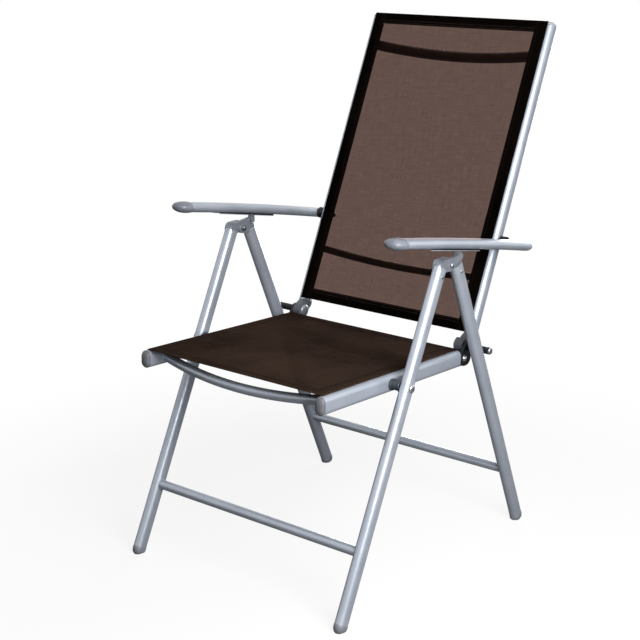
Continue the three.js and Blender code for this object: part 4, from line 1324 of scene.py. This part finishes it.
def surroundings():
    """White where the surroundings show, straight, mirrored or through the mesh; dimmer as a light."""
    world = bpy.data.worlds.new("white_surroundings")
    bpy.context.scene.world = world
    world.use_nodes = True
    nodes = world.node_tree.nodes
    links = world.node_tree.links
    background = nodes["Background"]
    background.inputs["Color"].default_value = (1, 1, 1, 1)
    path = nodes.new("ShaderNodeLightPath")
    seen = path.outputs["Is Camera Ray"]
    for name in ("Is Glossy Ray", "Is Transmission Ray"):
        most = nodes.new("ShaderNodeMath")
        most.operation = "MAXIMUM"
        links.new(seen, most.inputs[0])
        links.new(path.outputs[name], most.inputs[1])
        seen = most.outputs["Value"]
    strength = nodes.new("ShaderNodeMapRange")
    strength.inputs["To Min"].default_value = AMBIENT
    strength.inputs["To Max"].default_value = 1.0
    links.new(seen, strength.inputs["Value"])
    links.new(strength.outputs["Result"], background.inputs["Strength"])


def floor():
    """A pale floor that shows white and keeps the chair's shadow."""
    data = bpy.data.meshes.new("floor")
    reach = FLOOR_REACH
    corners = [(-reach, -reach, 0), (reach, -reach, 0), (reach, reach, 0), (-reach, reach, 0)]
    data.from_pydata(corners, [], [(0, 1, 2, 3)])
    made = add_object("floor", data)
    finish = Finish("pale_floor", roughness=1.0)
    finish.fix("Specular IOR Level", 0.0)
    seen = finish.nodes.new("ShaderNodeLightPath").outputs["Is Camera Ray"]
    finish.drive("Base Color", finish.span(seen, FLOOR_BOUNCE, FLOOR_TONE))
    distance = finish.nodes.new("ShaderNodeVectorMath")
    distance.operation = "LENGTH"
    finish.links.new(finish.where.outputs["Object"], distance.inputs[0])
    whiter = finish.span(distance.outputs["Value"], FLOOR_WHITE, 1.0, FLOOR_FADE, "SMOOTHSTEP")
    white = finish.nodes.new("ShaderNodeEmission")
    finish.mix_in(white.outputs["Emission"], finish.math("MULTIPLY", seen, whiter))
    data.materials.append(finish.material)


def aim(name, data, place, target):
    made = add_object(name, data)
    made.location = place
    made.rotation_euler = (Vector(target) - Vector(place)).to_track_quat("-Z", "Y").to_euler()
    return made


def lamp(name, place, target, size, power):
    data = bpy.data.lights.new(name, "AREA")
    data.shape = "RECTANGLE"
    data.size, data.size_y = size
    data.energy = power
    aim(name, data, place, target)


def camera():
    data = bpy.data.cameras.new("camera")
    data.lens = LENS
    data.sensor_width = SENSOR_WIDTH
    bpy.context.scene.camera = aim("camera", data, EYE, TARGET)


surroundings()
floor()
lamp("right_lamp", place=(1.4, -0.75, 1.2), target=(0.1, -0.1, 0.5), size=(1.0, 1.3), power=44)
lamp("left_lamp", place=(-3.0, -1.5, 1.6), target=(0, 0, 0.5), size=(1.4, 1.4), power=5)
lamp("top_lamp", place=(0.9, 0.0, 2.6), target=(0.2, 0, 0.4), size=(1.2, 1.2), power=8)
lamp("back_lamp", place=(-0.9, 2.9, 0.6), target=(0, 0, 0.5), size=(1.6, 0.8), power=70)
camera()
bpy.context.scene.view_settings.view_transform = "Standard"
